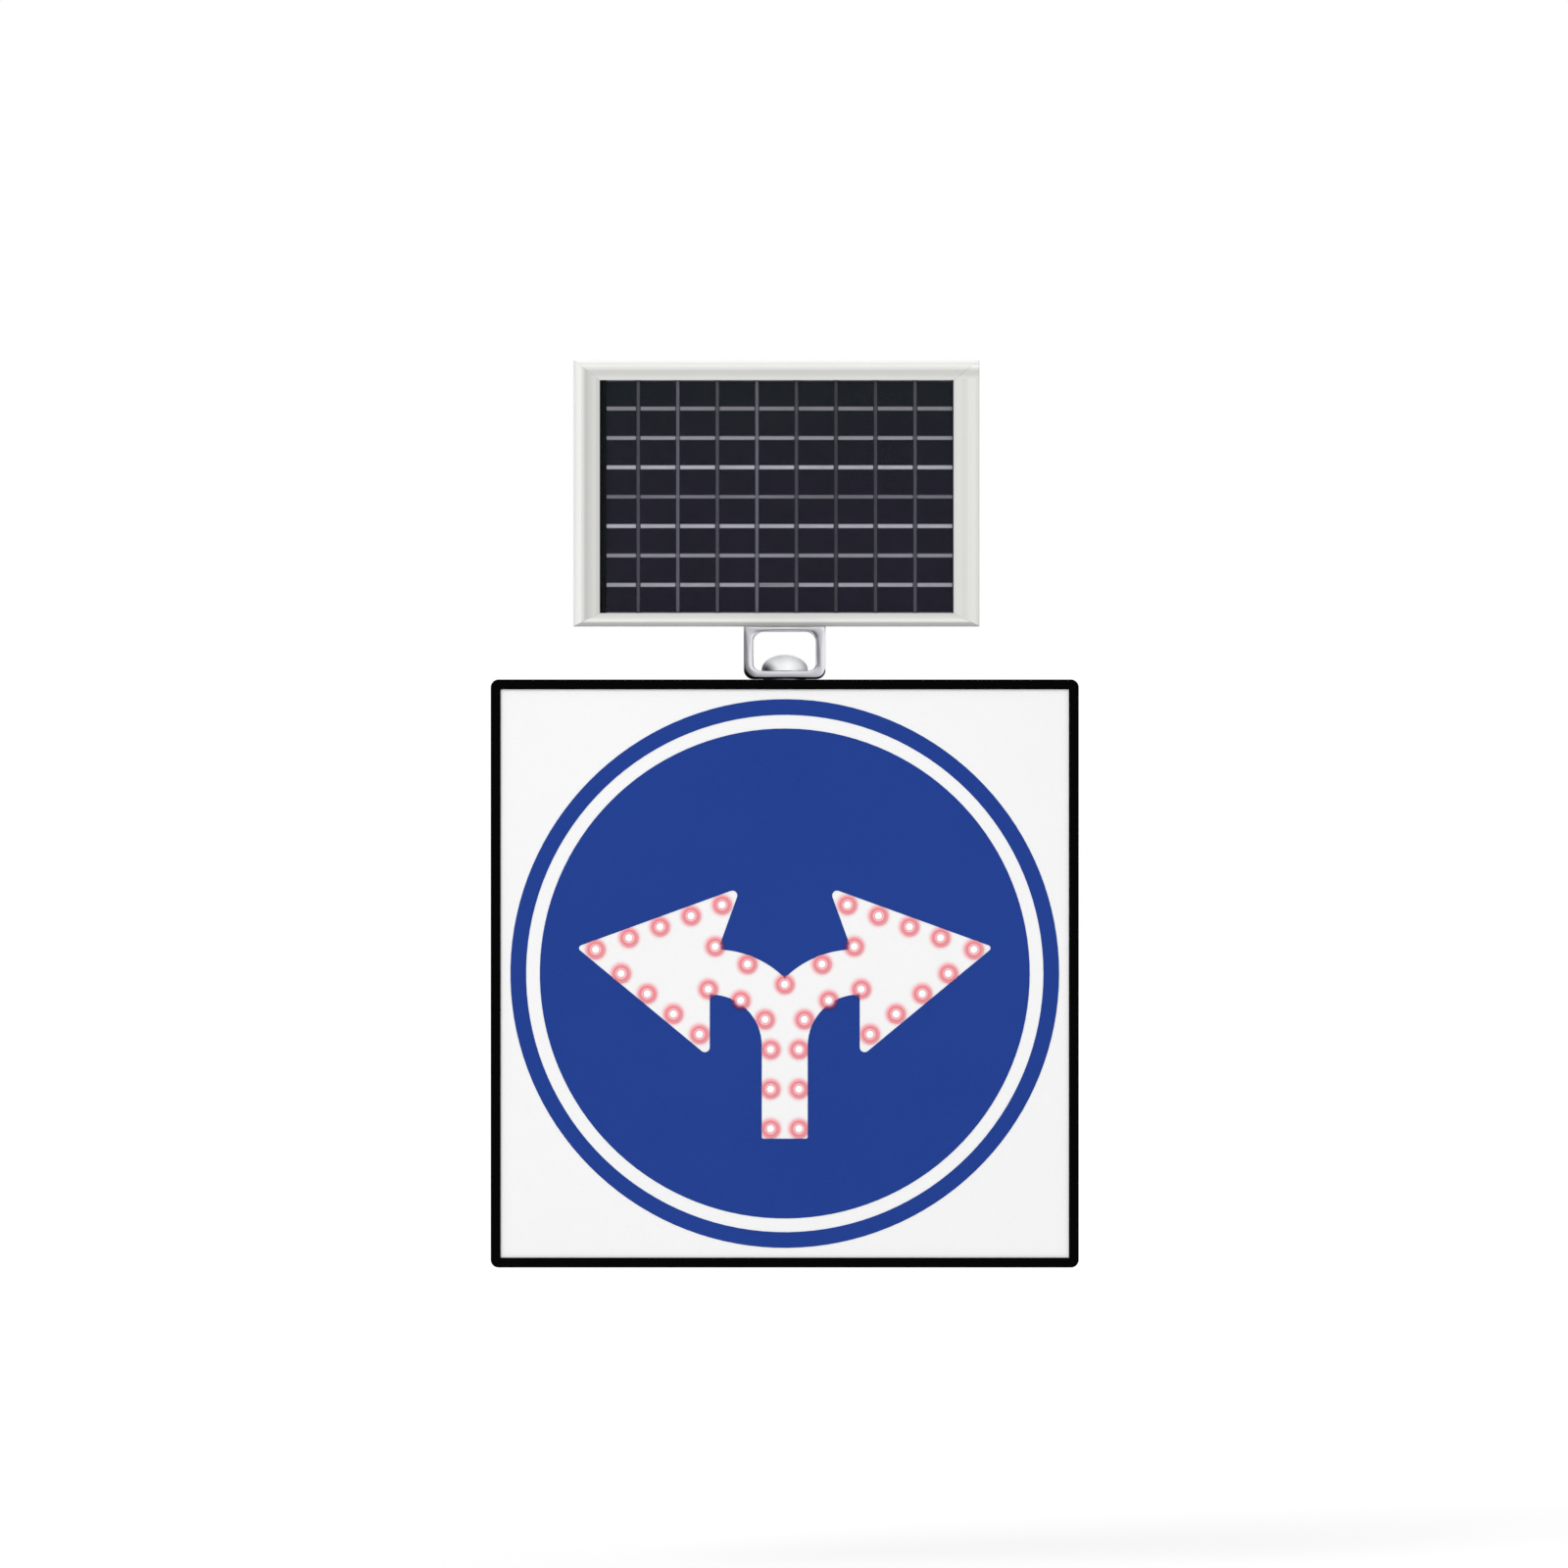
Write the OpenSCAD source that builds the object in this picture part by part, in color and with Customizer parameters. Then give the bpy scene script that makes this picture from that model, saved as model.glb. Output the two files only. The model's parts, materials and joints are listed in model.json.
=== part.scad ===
// Solar powered LED traffic sign: a square lit sign box with a solar panel that swivels above it.
// Units are millimetres. X runs right as the sign is read, Y runs to the rear and Z runs up.
// The origin is the middle of the four rear bolt holes, on the rear faces of the mounting rails.

/* [Sign box] */
// Outer side of the square frame
sign_side = 600; // [520:10:900]
// Depth of the frame rails from front to rear
box_depth = 50; // [46:1:80]
// Radius of the frame's outer corners
corner_r = 8; // [4:0.5:9]
// Wall of the frame rails
frame_wall = 3; // [2.5:0.1:5]
// Width of the front lip, which shows as the black border
front_lip = 10; // [9:0.5:20]
// Thickness of the front lip
front_lip_t = 2; // [1.5:0.1:4]
// Width of the rib behind the face plate, from the outer edge
rib_reach = 9; // [6:0.5:12]
// Thickness of that rib
rib_t = 1.5; // [1:0.1:3]
// Width of the rear lip that the cover is screwed to
rear_lip = 16; // [13:0.5:24]
// Thickness of the rear lip
rear_lip_t = 2; // [1.5:0.1:4]
// Leg length of the corner keys
key_leg = 45; // [25:1:80]
// Thickness of the corner keys
key_t = 3; // [2:0.1:5]
// Gap in front of and behind the corner keys
key_end_gap = 4; // [2:0.5:8]

/* [Sign face] */
// Thickness of the face plate
plate_t = 2; // [1:0.1:4]
// Gap between the face plate's edge and the frame wall
plate_gap = 0.5; // [0.2:0.1:2]
// Thickness of the white sheeting
sheeting_t = 0.4; // [0.2:0.05:1]
// Thickness of the blue films
film_t = 0.4; // [0.2:0.05:1]
// Distance from the frame's outer edge to the blue ring
ring_margin = 20; // [14:1:40]
// Width of the blue ring
ring_band = 16; // [8:1:30]
// Width of the white ring inside it
ring_gap = 14; // [6:1:24]

/* [Arrow] */
// Distance from the middle to the arrows' tips
tip_x = 213; // [190:1:216]
// Height of the tips above the middle
tip_z = 27; // [10:1:40]
// Upper barb of an arrow head, across
barb_top_x = 45; // [35:1:60]
// Upper barb of an arrow head, up
barb_top_z = 88; // [70:1:100]
// Lower barb of an arrow head, down
barb_low_z = 86; // [70:1:100]
// Upper notch between head and shaft, across
notch_x = 68; // [60:1:75]
// Radius of the shaft's upper edge
outer_bend_r = 100; // [90:1:120]
// Radius of the shaft's lower edge
inner_bend_r = 52; // [40:1:60]
// Half width of the stem
stem_half = 23.5; // [18:0.5:30]
// Distance from the middle to the stem's foot
stem_foot = 168.6; // [166:0.2:190]
// Centre of the upper edge's bend, across from the middle
outer_bend_x = 70.5; // [66:0.5:74]
// Centre of the upper edge's bend, down from the middle
outer_bend_z = 75.5; // [70:0.5:80]
// Centre of the lower edge's bend, down from the middle
inner_bend_z = 73.5; // [68:0.5:78]
// Straight run between the lower bend and the head
notch_run = 1; // [0.5:0.5:6]
// Rounding of the barbs
barb_r = 5; // [1:0.5:8]
// Rounding of the tips
tip_r = 3; // [1:0.5:5]
// Rounding of the stem's foot
foot_r = 2; // [0.5:0.5:5]

/* [Lights] */
// Radius of the lamp's clear body
bulb_r = 4; // [3:0.1:5]
// Height of its domed end
bulb_dome_h = 2; // [1:0.1:2.9]
// Radius of the collar at its foot
bulb_collar_r = 4.6; // [4.2:0.1:6]
// Height of that collar
bulb_collar_h = 1.2; // [0.6:0.1:3]
// Outer radius of the red lamp rings
bezel_r = 9.6; // [8:0.1:11]
// Thickness of the ring's face
bezel_t = 1.1; // [0.6:0.1:1.5]
// Wall of the ring's neck
bezel_neck_t = 0.7; // [0.5:0.1:1.2]
// Gap between a lamp and its ring, and between the ring's neck and its hole
lamp_gap = 0.3; // [0.1:0.05:0.5]
// Gap from the face plate back to the lamp boards
board_stand = 7; // [5:0.5:10]
// Thickness of the lamp boards
board_t = 1.6; // [0.8:0.1:2.4]
// Width of the middle board, across the stem
stem_board_half = 29.5; // [27:0.5:31]
// Gap between neighbouring lamp boards
board_split = 1; // [0.5:0.1:3]
// Radius of the board spacers
spacer_r = 3; // [2.5:0.1:4]
// Radius of the small screws' shanks
small_screw_r = 1.2; // [1:0.05:1.5]
// Radius of the small screws' heads
small_head_r = 2.6; // [2.2:0.1:3.5]
// Height of the small screws' heads
small_head_h = 1.8; // [1:0.1:2.5]
// Gap round a screw's shank in a threaded hole
thread_gap = 0.05; // [0.02:0.01:0.1]
// Gap round a screw's shank in a plain hole
hole_gap = 0.3; // [0.1:0.05:0.6]

/* [Back] */
// Thickness of the back cover
cover_t = 1.5; // [1:0.1:3]
// Gap from the frame's outer edge to the cover's edge
cover_inset = 1; // [0.5:0.1:3]
// Thickness of the cover's seal
gasket_t = 1; // [0.5:0.1:2]
// Width of the seal
gasket_w = 12; // [11:0.5:14]
// Gap from the frame's outer edge to the seal
gasket_inset = 2; // [1:0.5:3]
// Distance from the frame's outer edge to the cover screws
cover_screw_in = 8; // [7:0.5:10]
// Distance between the first and the last cover screw on a side
cover_screw_span = 500; // [300:10:520]
// Cover screws on each side
cover_screw_count = 4; // [2:1:8]
// Radius of the cover screws' shanks
cover_screw_r = 2; // [1.5:0.1:2.5]
// Length of the cover screws' shanks
cover_screw_len = 9; // [6:0.5:12]
// Radius of the cover screws' heads
cover_head_r = 4; // [3:0.1:5]
// Height of the cover screws' heads
cover_head_h = 2.2; // [1.5:0.1:3]

/* [Mounting rails] */
// Height of the rails off the cover
hat_h = 25; // [20:1:40]
// Width of a rail's rear face
hat_w = 40; // [30:1:60]
// Width of the flanges on both sides
hat_flange = 16; // [12:1:24]
// Sheet thickness of the rails
hat_t = 2; // [1.5:0.1:4]
// Length of the rails
hat_len = 460; // [430:10:500]
// Distance between the bolt holes along a rail
bolt_span_x = 400; // [300:5:410]
// From the frame's top and bottom edges to the rails' middles
rail_edge = 110; // [100:5:120]
// Radius of the bolt holes
bolt_hole_r = 4.5; // [3:0.25:6.5]
// Distance between the outer rivets along a rail
rivet_span = 390; // [300:5:410]
// Rivets along each flange
rivet_count = 4; // [2:1:6]
// Radius of a rivet's shank
rivet_r = 2.4; // [1.5:0.1:3.2]
// Radius of a rivet's head
rivet_head_r = 4.6; // [4:0.1:6]
// Height of a rivet's head
rivet_head_h = 1.4; // [1:0.1:2]

/* [Inside] */
// Width of the control board
control_w = 110; // [90:1:130]
// Height of the control board
control_h = 80; // [70:1:100]
// Distance from the frame's left edge to the control board's centre
control_edge = 160; // [140:1:180]
// Centre of the control board and the battery, up from the middle
inside_z = -60; // [-70:1:-50]
// Height of the control board's stands
stand_h = 8; // [6:0.5:12]
// Distance from the board's edges to its screws
control_inset = 6; // [5:0.5:10]
// Radius of a battery cell
cell_can_r = 9.2; // [8.5:0.1:10]
// Length of a battery cell
cell_can_len = 65.2; // [60:0.2:70]
// Battery cells stacked one above the other
can_rows = 3; // [2:1:4]
// Battery cells end to end
can_columns = 2; // [1:1:2]
// Gap between battery cells
can_gap = 1.4; // [0.4:0.1:3]
// Distance from the frame's right edge to the battery's centre
battery_edge = 160; // [150:1:175]
// Wall of the battery tray
tray_wall = 2; // [1.5:0.1:4]
// Height of the tray's walls
tray_h = 13; // [8:0.5:16]
// Width of the battery strap
strap_w = 16; // [10:1:24]
// Thickness of the strap
strap_t = 1.2; // [0.8:0.1:2]
// Length of the strap's feet
strap_foot = 13; // [10:1:18]

/* [Cable entry] */
// Across from the middle to the cable gland
gland_x = 90; // [60:1:180]
// Down from the frame's top edge to the cable gland
gland_drop = 48; // [38:1:54]
// Radius of the gland's cable hole
gland_bore_r = 4; // [3:0.1:5]
// Radius of the gland's threaded neck
gland_neck_r = 7.9; // [7:0.1:9]
// Radius of the gland's hexagon, over its corners
gland_hex_r = 11.5; // [10.5:0.1:14]
// Height of the gland's hexagon
gland_hex_h = 5; // [3:0.5:7]
// Height of the gland's cap
gland_cap_h = 9; // [6:0.5:12]
// Height of the nut inside
gland_nut_h = 5; // [3:0.5:8]
// Radius of the air vent's cap
vent_r = 9; // [7:0.1:12]
// Height of the air vent's cap
vent_h = 5; // [3:0.5:8]
// Radius of the air vent's neck
vent_neck_r = 5.9; // [4:0.1:6.5]

/* [Swivel] */
// Radius of the pivot bolt's shank
pivot_r = 5; // [4:0.25:6]
// Running gap round the pivot bolt
pivot_gap = 0.05; // [0.02:0.01:0.1]
// Radius of the pivot bolt's domed head
dome_r = 23.7; // [16:0.1:23.8]
// Height of the domed head
dome_h = 16.5; // [8:0.5:18]
// Radius of the swivel washer
washer_r = 22; // [14:0.5:23]
// Thickness of the swivel washer
washer_t = 0.5; // [0.5:0.1:3]
// Width of the stiffening plate inside the top rail
stiff_w = 120; // [60:5:160]
// Thickness of that plate
stiff_t = 6; // [3:0.5:10]
// Radius of the pivot nut, over its corners
pivot_nut_r = 9.8; // [8.5:0.1:12]
// Height of the pivot nut
pivot_nut_h = 8; // [6:0.5:12]
// Length of bolt that shows below the nut
pivot_tail = 3; // [1:0.5:8]

/* [Loop bracket] */
// Outer width of the loop
loop_w = 84; // [76:1:120]
// Height of the loop
loop_h = 54; // [48:1:80]
// Depth of the loop from front to rear
loop_depth = 48; // [46:1:50]
// Thickness of the loop's two uprights
loop_side_t = 10.25; // [6:0.25:13]
// Thickness of the loop's foot
loop_foot_t = 8.5; // [5:0.5:14]
// Thickness of the loop's top
loop_top_t = 5.5; // [4:0.5:10]
// Radius of the loop's lower outer corners
loop_outer_r = 10; // [4:0.5:14]
// Radius of the window's corners
loop_inner_r = 7.5; // [3:0.5:12]
// Width of the ear behind the panel
ear_w = 60; // [54:1:80]
// Thickness of the ear
ear_t = 6; // [4:0.5:8]
// Height of the ear above the loop
ear_h = 47; // [44:1:60]
// Distance between the ear's bolts
ear_bolt_span = 36; // [30:1:40]
// Radius of the ear's bolts
ear_bolt_r = 3; // [2.5:0.1:4]
// Height of the ear bolts' heads and nuts
ear_nut_h = 4.5; // [3:0.25:5.5]

/* [Solar panel] */
// Outer width of the panel
panel_w = 415; // [350:1:500]
// Outer height of the panel
panel_h = 272; // [250:1:400]
// Depth of the panel's frame
panel_depth = 25; // [24:0.5:26.5]
// How far the panel's middle lies to the left of the sign's middle
panel_shift = 8.5; // [0:0.5:15]
// Width of the panel frame's left rail
lip_left = 27; // [22:0.5:32]
// Width of the panel frame's right rail
lip_right = 26.5; // [22:0.5:32]
// Width of the panel frame's top rail
lip_top = 20.5; // [16:0.5:28]
// Width of the panel frame's bottom rail
lip_bottom = 13.5; // [13:0.5:20]
// Wall of the panel frame
panel_wall = 1.8; // [1.2:0.1:2.5]
// Share of a rail's width taken by its raised outer bead
bead_share = 0.34; // [0.2:0.01:0.5]
// Step down from the bead to the inner slope
bead_step = 0.9; // [0.4:0.1:1.2]
// Fall of the inner slope towards the glass
slope_fall = 1.3; // [0.6:0.1:1.6]
// Thickness of the lip at the glass
lip_t = 1.3; // [1:0.1:2]
// How far the glass runs in under the lip
glass_tuck = 8; // [4:0.5:10]
// Thickness of the glass
glass_t = 3.2; // [2:0.1:4]
// Thickness of the metal ribbons and of the edge tape
ribbon_t = 0.15; // [0.1:0.05:0.3]
// Width of a metal ribbon
ribbon_w = 2.6; // [1:0.1:4]
// Thickness of the solar cells
wafer_t = 0.3; // [0.2:0.05:0.5]
// Thickness of the sheet behind the cells
backsheet_t = 0.5; // [0.3:0.1:1]
// Columns of solar cells
cell_columns = 9; // [4:1:12]
// Rows of solar cells
cell_rows = 4; // [2:1:6]
// Gap between solar cells
cell_gap = 2.2; // [1:0.1:4]
// How far the outer cells run in under the lip
cell_tuck = 1.15; // [0:0.05:1.5]
// Width of the black tape down the left edge
tape_w = 7; // [4:0.5:12]
// Thickness of the rib behind the glass, and of the rear flange
panel_rib_t = 1.5; // [1:0.1:2]
// Width of the panel frame's rear flange
panel_flange = 20; // [18:0.5:21]
// Height of the cross rail
cross_h = 36; // [26:1:40]
// Thickness of the cross rail
cross_t = 2.5; // [2:0.1:4]
// Radius of the cross rail's screws
cross_screw_r = 2; // [1.5:0.1:2.5]
// Width of the junction box
junction_w = 88; // [60:1:120]
// Height of the junction box
junction_h = 58; // [40:1:80]
// Depth of the junction box without its lid
junction_d = 11; // [10:0.5:12]
// Thickness of the junction box's lid
junction_lid_t = 2.5; // [1.5:0.1:3]
// Wall of the junction box
junction_wall = 2; // [1.5:0.1:3]
// Radius of the junction box's cable hole
junction_bore_r = 2.5; // [2:0.1:3]

/* [Hidden] */
$fn = 48;
arc_steps = 10;

// Places from rear to front
cover_back = -hat_h;
cover_front = cover_back - cover_t;
box_back = cover_front - gasket_t;
box_front = box_back - box_depth;
sheeting_front = box_front + front_lip_t;
plate_front = sheeting_front + sheeting_t;
plate_back = plate_front + plate_t;
rib_back = plate_back + rib_t;
film_front = sheeting_front - film_t;
board_front = plate_back + board_stand;
board_back = board_front + board_t;

// Sign box
half_side = sign_side / 2;
sign_box = [-half_side, -half_side, half_side, half_side];
sign_lips = [rear_lip, rear_lip, rear_lip, rear_lip];
plate_side = sign_side - 2 * (frame_wall + plate_gap);
ring_r = half_side - ring_margin;
ring_hole_r = ring_r - ring_band;
disc_r = ring_hole_r - ring_gap;

// Lamps
bezel_bore_r = bulb_r + lamp_gap;
bezel_neck_r = bezel_bore_r + bezel_neck_t;
lamp_hole_r = bezel_neck_r + lamp_gap / 2;
bulb_tip_gap = 0.2;
bulb_len = board_front - box_front - bulb_tip_gap;

// Swivel
pivot_y = (box_front + box_back) / 2;
loop_z = half_side + washer_t;
loop_top = loop_z + loop_h;
dome_z = loop_z + loop_foot_t;
nut_z = half_side - frame_wall - stiff_t;
ball_r = (dome_r * dome_r + dome_h * dome_h) / (2 * dome_h);

// Panel
panel_x0 = -panel_shift - panel_w / 2;
panel_x1 = -panel_shift + panel_w / 2;
panel_z0 = loop_top;
panel_z1 = panel_z0 + panel_h;
panel_box = [panel_x0, panel_z0, panel_x1, panel_z1];
panel_lips = [lip_left, lip_right, lip_bottom, lip_top];
mitre_reach = 1.55;
panel_front = pivot_y - panel_depth / 2;
panel_back = panel_front + panel_depth;
glass_front = panel_front + bead_step + slope_fall + lip_t;
glass_back = glass_front + glass_t;
ribbon_back = glass_back + ribbon_t;
wafer_back = ribbon_back + wafer_t;
laminate_back = wafer_back + backsheet_t;
opening = [panel_x0 + lip_left, panel_z0 + lip_bottom, panel_x1 - lip_right, panel_z1 - lip_top];
cell_pitch_x = (opening[2] - opening[0] + 2 * cell_tuck) / cell_columns;
cell_pitch_z = (opening[3] - opening[1] + 2 * cell_tuck) / cell_rows;
cross_back = panel_back + cross_t;
ear_back = cross_back + ear_t;
cross_low = 9;
cross_z = panel_z0 + cross_low;
cross_mid = cross_z + cross_h / 2;
cross_inset = 2;
junction_x = -panel_shift;
junction_z = panel_z0 + panel_h * 0.6;
junction_back = laminate_back + junction_d;

// Colours
black_paint = [0.03, 0.03, 0.035];
sign_blue = [0.13, 0.26, 0.57];
board_green = [0.08, 0.32, 0.18];
zinc = [0.72, 0.74, 0.76];
off_white = [0.89, 0.89, 0.87];

// Points of an arc from angle a0 to a1
function arc(c, r, a0, a1, n = arc_steps) =
    [for (i = [0:n]) let (a = a0 + (a1 - a0) * i / n) [c[0] + r * cos(a), c[1] + r * sin(a)]];

// Unit vector from p to q
function unit(p, q) = (q - p) / norm(q - p);

// Points of the rounding with radius r at corner p between its neighbours a and b
function rounding(a, p, b, r, n = 6) =
    let (
        u = unit(p, a), v = unit(p, b),
        half = acos(u * v) / 2,
        c = p + unit([0, 0], u + v) * r / sin(half),
        s = p + u * r / tan(half) - c,
        e = p + v * r / tan(half) - c,
        a0 = atan2(s[1], s[0]),
        turn = atan2(s[0] * e[1] - s[1] * e[0], s * e)
    )
    arc(c, r, a0, a0 + turn, n);

// Points mirrored left to right, in the opposite order
function mirrored(points) =
    [for (i = [len(points) - 1:-1:0]) [-points[i][0], points[i][1]]];

// Points of a rectangle x0, z0, x1, z1 with rounded corners
function round_box(b, r_low, r_high) = concat(
    arc([b[2] - r_low, b[1] + r_low], r_low, -90, 0),
    arc([b[2] - r_high, b[3] - r_high], r_high, 0, 90),
    arc([b[0] + r_high, b[3] - r_high], r_high, 90, 180),
    arc([b[0] + r_low, b[1] + r_low], r_low, 180, 270)
);

// Rectangle grown by g on every side
function grown(b, g) = [b[0] - g, b[1] - g, b[2] + g, b[3] + g];

// Evenly spaced places, centred on zero
function spaced(span, count) = [for (i = [0:count - 1]) -span / 2 + span * i / max(1, count - 1)];

// Extrudes a shape drawn across X and up Z, from y0 back to y1
module slab(y0, y1) {
    translate([0, y1, 0]) rotate([90, 0, 0]) linear_extrude(height = y1 - y0) children();
}

// Round bar along Y
module y_bar(r, y0, y1) {
    slab(y0, y1) circle(r = r);
}

// Rectangular slab given by its corners across and up
module box_slab(b, y0, y1) {
    translate([b[0], y0, b[1]]) cube([b[2] - b[0], y1 - y0, b[3] - b[1]]);
}

// Copies the children to each place given across X and up Z
module at_each(places) {
    for (p = places) translate([p[0], 0, p[1]]) children();
}

// Screw or rivet that goes in from the rear: head behind y, shank in front of it
module rear_screw(y, head_r, head_h, shank_r, shank_len) {
    y_bar(head_r, y, y + head_h);
    y_bar(shank_r, y - shank_len, y);
}

// Outline of the stretch that one side of a mitred frame fills
function mitre_outline(side, b, w, k) =
    let (
        inner = [b[0] + k * w[0], b[1] + k * w[2], b[2] - k * w[1], b[3] - k * w[3]]
    )
    side == "bottom" ? [[b[0], b[1]], [b[2], b[1]], [inner[2], inner[1]], [inner[0], inner[1]]] :
    side == "left" ? [[b[0], b[1]], [inner[0], inner[1]], [inner[0], inner[3]], [b[0], b[3]]] :
    side == "top" ? [[b[0], b[3]], [inner[0], inner[3]], [inner[2], inner[3]], [b[2], b[3]]] :
    [[b[2], b[1]], [b[2], b[3]], [inner[2], inner[3]], [inner[2], inner[1]]];

// Runs a profile of [distance in from the outer edge, y] along one side of the box b
module side_run(side, b, profile) {
    if (side == "bottom" || side == "top") {
        rotate([90, 0, 90]) translate([0, 0, b[0]]) linear_extrude(height = b[2] - b[0])
            polygon([for (p = profile) [p[1], side == "top" ? b[3] - p[0] : b[1] + p[0]]]);
    } else {
        translate([0, 0, b[1]]) linear_extrude(height = b[3] - b[1])
            polygon([for (p = profile) [side == "right" ? b[2] - p[0] : b[0] + p[0], p[1]]]);
    }
}

// Sign box

// Section of the frame rails: wall, front lip, rib and rear lip
frame_section = [
    [0, box_front], [front_lip, box_front], [front_lip, sheeting_front], [frame_wall, sheeting_front],
    [frame_wall, plate_back], [rib_reach, plate_back], [rib_reach, rib_back], [frame_wall, rib_back],
    [frame_wall, box_back - rear_lip_t], [rear_lip, box_back - rear_lip_t], [rear_lip, box_back],
    [0, box_back]
];

// Places of the cover screws round all four sides
screw_edge = half_side - cover_screw_in;
cover_screw_places = [
    for (t = spaced(cover_screw_span, cover_screw_count))
        for (p = [[t, -screw_edge], [t, screw_edge], [-screw_edge, t], [screw_edge, t]]) p
];

module frame_rail(side) {
    color(black_paint) difference() {
        intersection() {
            side_run(side, sign_box, frame_section);
            slab(box_front, box_back) polygon(mitre_outline(side, sign_box, sign_lips, 1));
            slab(box_front, box_back) polygon(round_box(sign_box, corner_r, corner_r));
        }
        at_each(cover_screw_places)
            y_bar(cover_screw_r + thread_gap, box_back - rear_lip_t - 1, box_back + 1);
        if (side == "top")
            translate([0, pivot_y, half_side - frame_wall - 1])
                cylinder(r = pivot_r + hole_gap, h = frame_wall + 2);
    }
}

module frame_rail_bottom() {
    frame_rail("bottom");
}

module frame_rail_left() {
    frame_rail("left");
}

module frame_rail_top() {
    frame_rail("top");
}

module frame_rail_right() {
    frame_rail("right");
}

// L-shaped outline of a corner key, with its outer corner at zero
function key_outline(leg, t) = [[0, 0], [leg, 0], [leg, t], [t, t], [t, leg], [0, leg]];

// One key in each corner of the box b, from y0 back to y1
module keys(b, leg, t, y0, y1) {
    slab(y0, y1) {
        translate([b[0], b[1]]) polygon(key_outline(leg, t));
        translate([b[2], b[1]]) mirror([1, 0]) polygon(key_outline(leg, t));
        translate([b[0], b[3]]) mirror([0, 1]) polygon(key_outline(leg, t));
        translate([b[2], b[3]]) rotate(180) polygon(key_outline(leg, t));
    }
}

module corner_keys() {
    color(zinc) keys(grown(sign_box, -frame_wall), key_leg, key_t,
        rib_back + key_end_gap, box_back - rear_lip_t - key_end_gap);
}

// Sign face

// Left half of the arrow outline, from the middle of its top down to the stem's foot
bend_x = stem_half + inner_bend_r;
barb_low_x = bend_x + notch_run;
bend_c = [-bend_x, -inner_bend_z];
outer_c = [-outer_bend_x, -outer_bend_z];
outer_end = acos((-notch_x - outer_c[0]) / outer_bend_r);
outer_start = acos(-outer_c[0] / outer_bend_r);
notch = outer_c + outer_bend_r * [cos(outer_end), sin(outer_end)];
barb_top = [-barb_top_x, barb_top_z];
tip = [-tip_x, tip_z];
barb_low = [-barb_low_x, -barb_low_z];
bend_top = bend_c + [0, inner_bend_r];
bend_foot = bend_c + [inner_bend_r, 0];
foot = [-stem_half, -stem_foot];
arrow_half = concat(
    arc(outer_c, outer_bend_r, outer_start, outer_end, 16),
    rounding(notch, barb_top, tip, barb_r),
    rounding(barb_top, tip, barb_low, tip_r),
    rounding(tip, barb_low, [-barb_low_x, bend_top[1]], barb_r),
    [[-barb_low_x, bend_top[1]]],
    arc(bend_c, inner_bend_r, 90, 0, 16),
    rounding([-stem_half, bend_foot[1]], foot, [0, -stem_foot], foot_r)
);
arrow_outline = concat(arrow_half, mirrored(arrow_half));

// Rows of lamps on the left side, as first place, last place and count
lamp_rows = [
    [[-64, 70], [-159, 36.5], 4],
    [[-193, 24.5], [-193, 24.5], 1],
    [[-167, 0], [-87, -62], 4],
    [[-71, 27.5], [-38, 9.5], 2],
    [[-78, -16], [-45, -27.5], 2],
    [[-20, -47], [-20, -47], 1],
    [[-14.5, -77.5], [-14.5, -158.5], 3]
];
left_lamps = [
    for (row = lamp_rows) for (i = [0:row[2] - 1])
        row[0] + (row[1] - row[0]) * i / max(1, row[2] - 1)
];
lamp_places = concat(left_lamps, mirrored(left_lamps), [[0, -11]]);

// Square sheet of the face with a hole for each lamp
module face_sheet(y0, y1) {
    difference() {
        box_slab([-plate_side / 2, -plate_side / 2, plate_side / 2, plate_side / 2], y0, y1);
        at_each(lamp_places) y_bar(lamp_hole_r, y0 - 1, y1 + 1);
    }
}

module face_plate() {
    color(zinc) face_sheet(plate_front, plate_back);
}

module white_sheeting() {
    color("white") face_sheet(sheeting_front, plate_front);
}

module blue_ring_film() {
    color(sign_blue) difference() {
        slab(film_front, sheeting_front) circle(r = ring_r, $fn = 180);
        slab(film_front - 1, sheeting_front + 1) circle(r = ring_hole_r, $fn = 180);
    }
}

module blue_disc_film() {
    color(sign_blue) difference() {
        slab(film_front, sheeting_front) circle(r = disc_r, $fn = 180);
        slab(film_front - 1, sheeting_front + 1) polygon(arrow_outline);
        at_each(lamp_places) y_bar(lamp_hole_r, film_front - 1, sheeting_front + 1);
    }
}

// Lamps

bezel_face_y = film_front - bezel_t;
bezel_slope = 0.5;

module led_bezels() {
    color([0.85, 0.25, 0.28]) at_each(lamp_places) translate([0, plate_back, 0]) rotate([90, 0, 0])
        rotate_extrude() polygon([
            [bezel_bore_r, 0], [bezel_neck_r, 0], [bezel_neck_r, plate_back - film_front],
            [bezel_r, plate_back - film_front], [bezel_r, plate_back - bezel_face_y - bezel_slope],
            [bezel_r - bezel_slope, plate_back - bezel_face_y], [bezel_bore_r, plate_back - bezel_face_y]
        ]);
}

// Radius of the lamp's domed end
bulb_ball_r = (bulb_r * bulb_r + bulb_dome_h * bulb_dome_h) / (2 * bulb_dome_h);

module led_bulbs() {
    color("white") at_each(lamp_places) translate([0, board_front, 0]) rotate([90, 0, 0])
        rotate_extrude() {
            square([bulb_collar_r, bulb_collar_h]);
            square([bulb_r, bulb_len - bulb_dome_h]);
            intersection() {
                translate([0, bulb_len - bulb_ball_r]) circle(r = bulb_ball_r, $fn = 64);
                translate([0, bulb_len - bulb_dome_h]) square([bulb_r, bulb_dome_h]);
            }
        }
}

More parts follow.
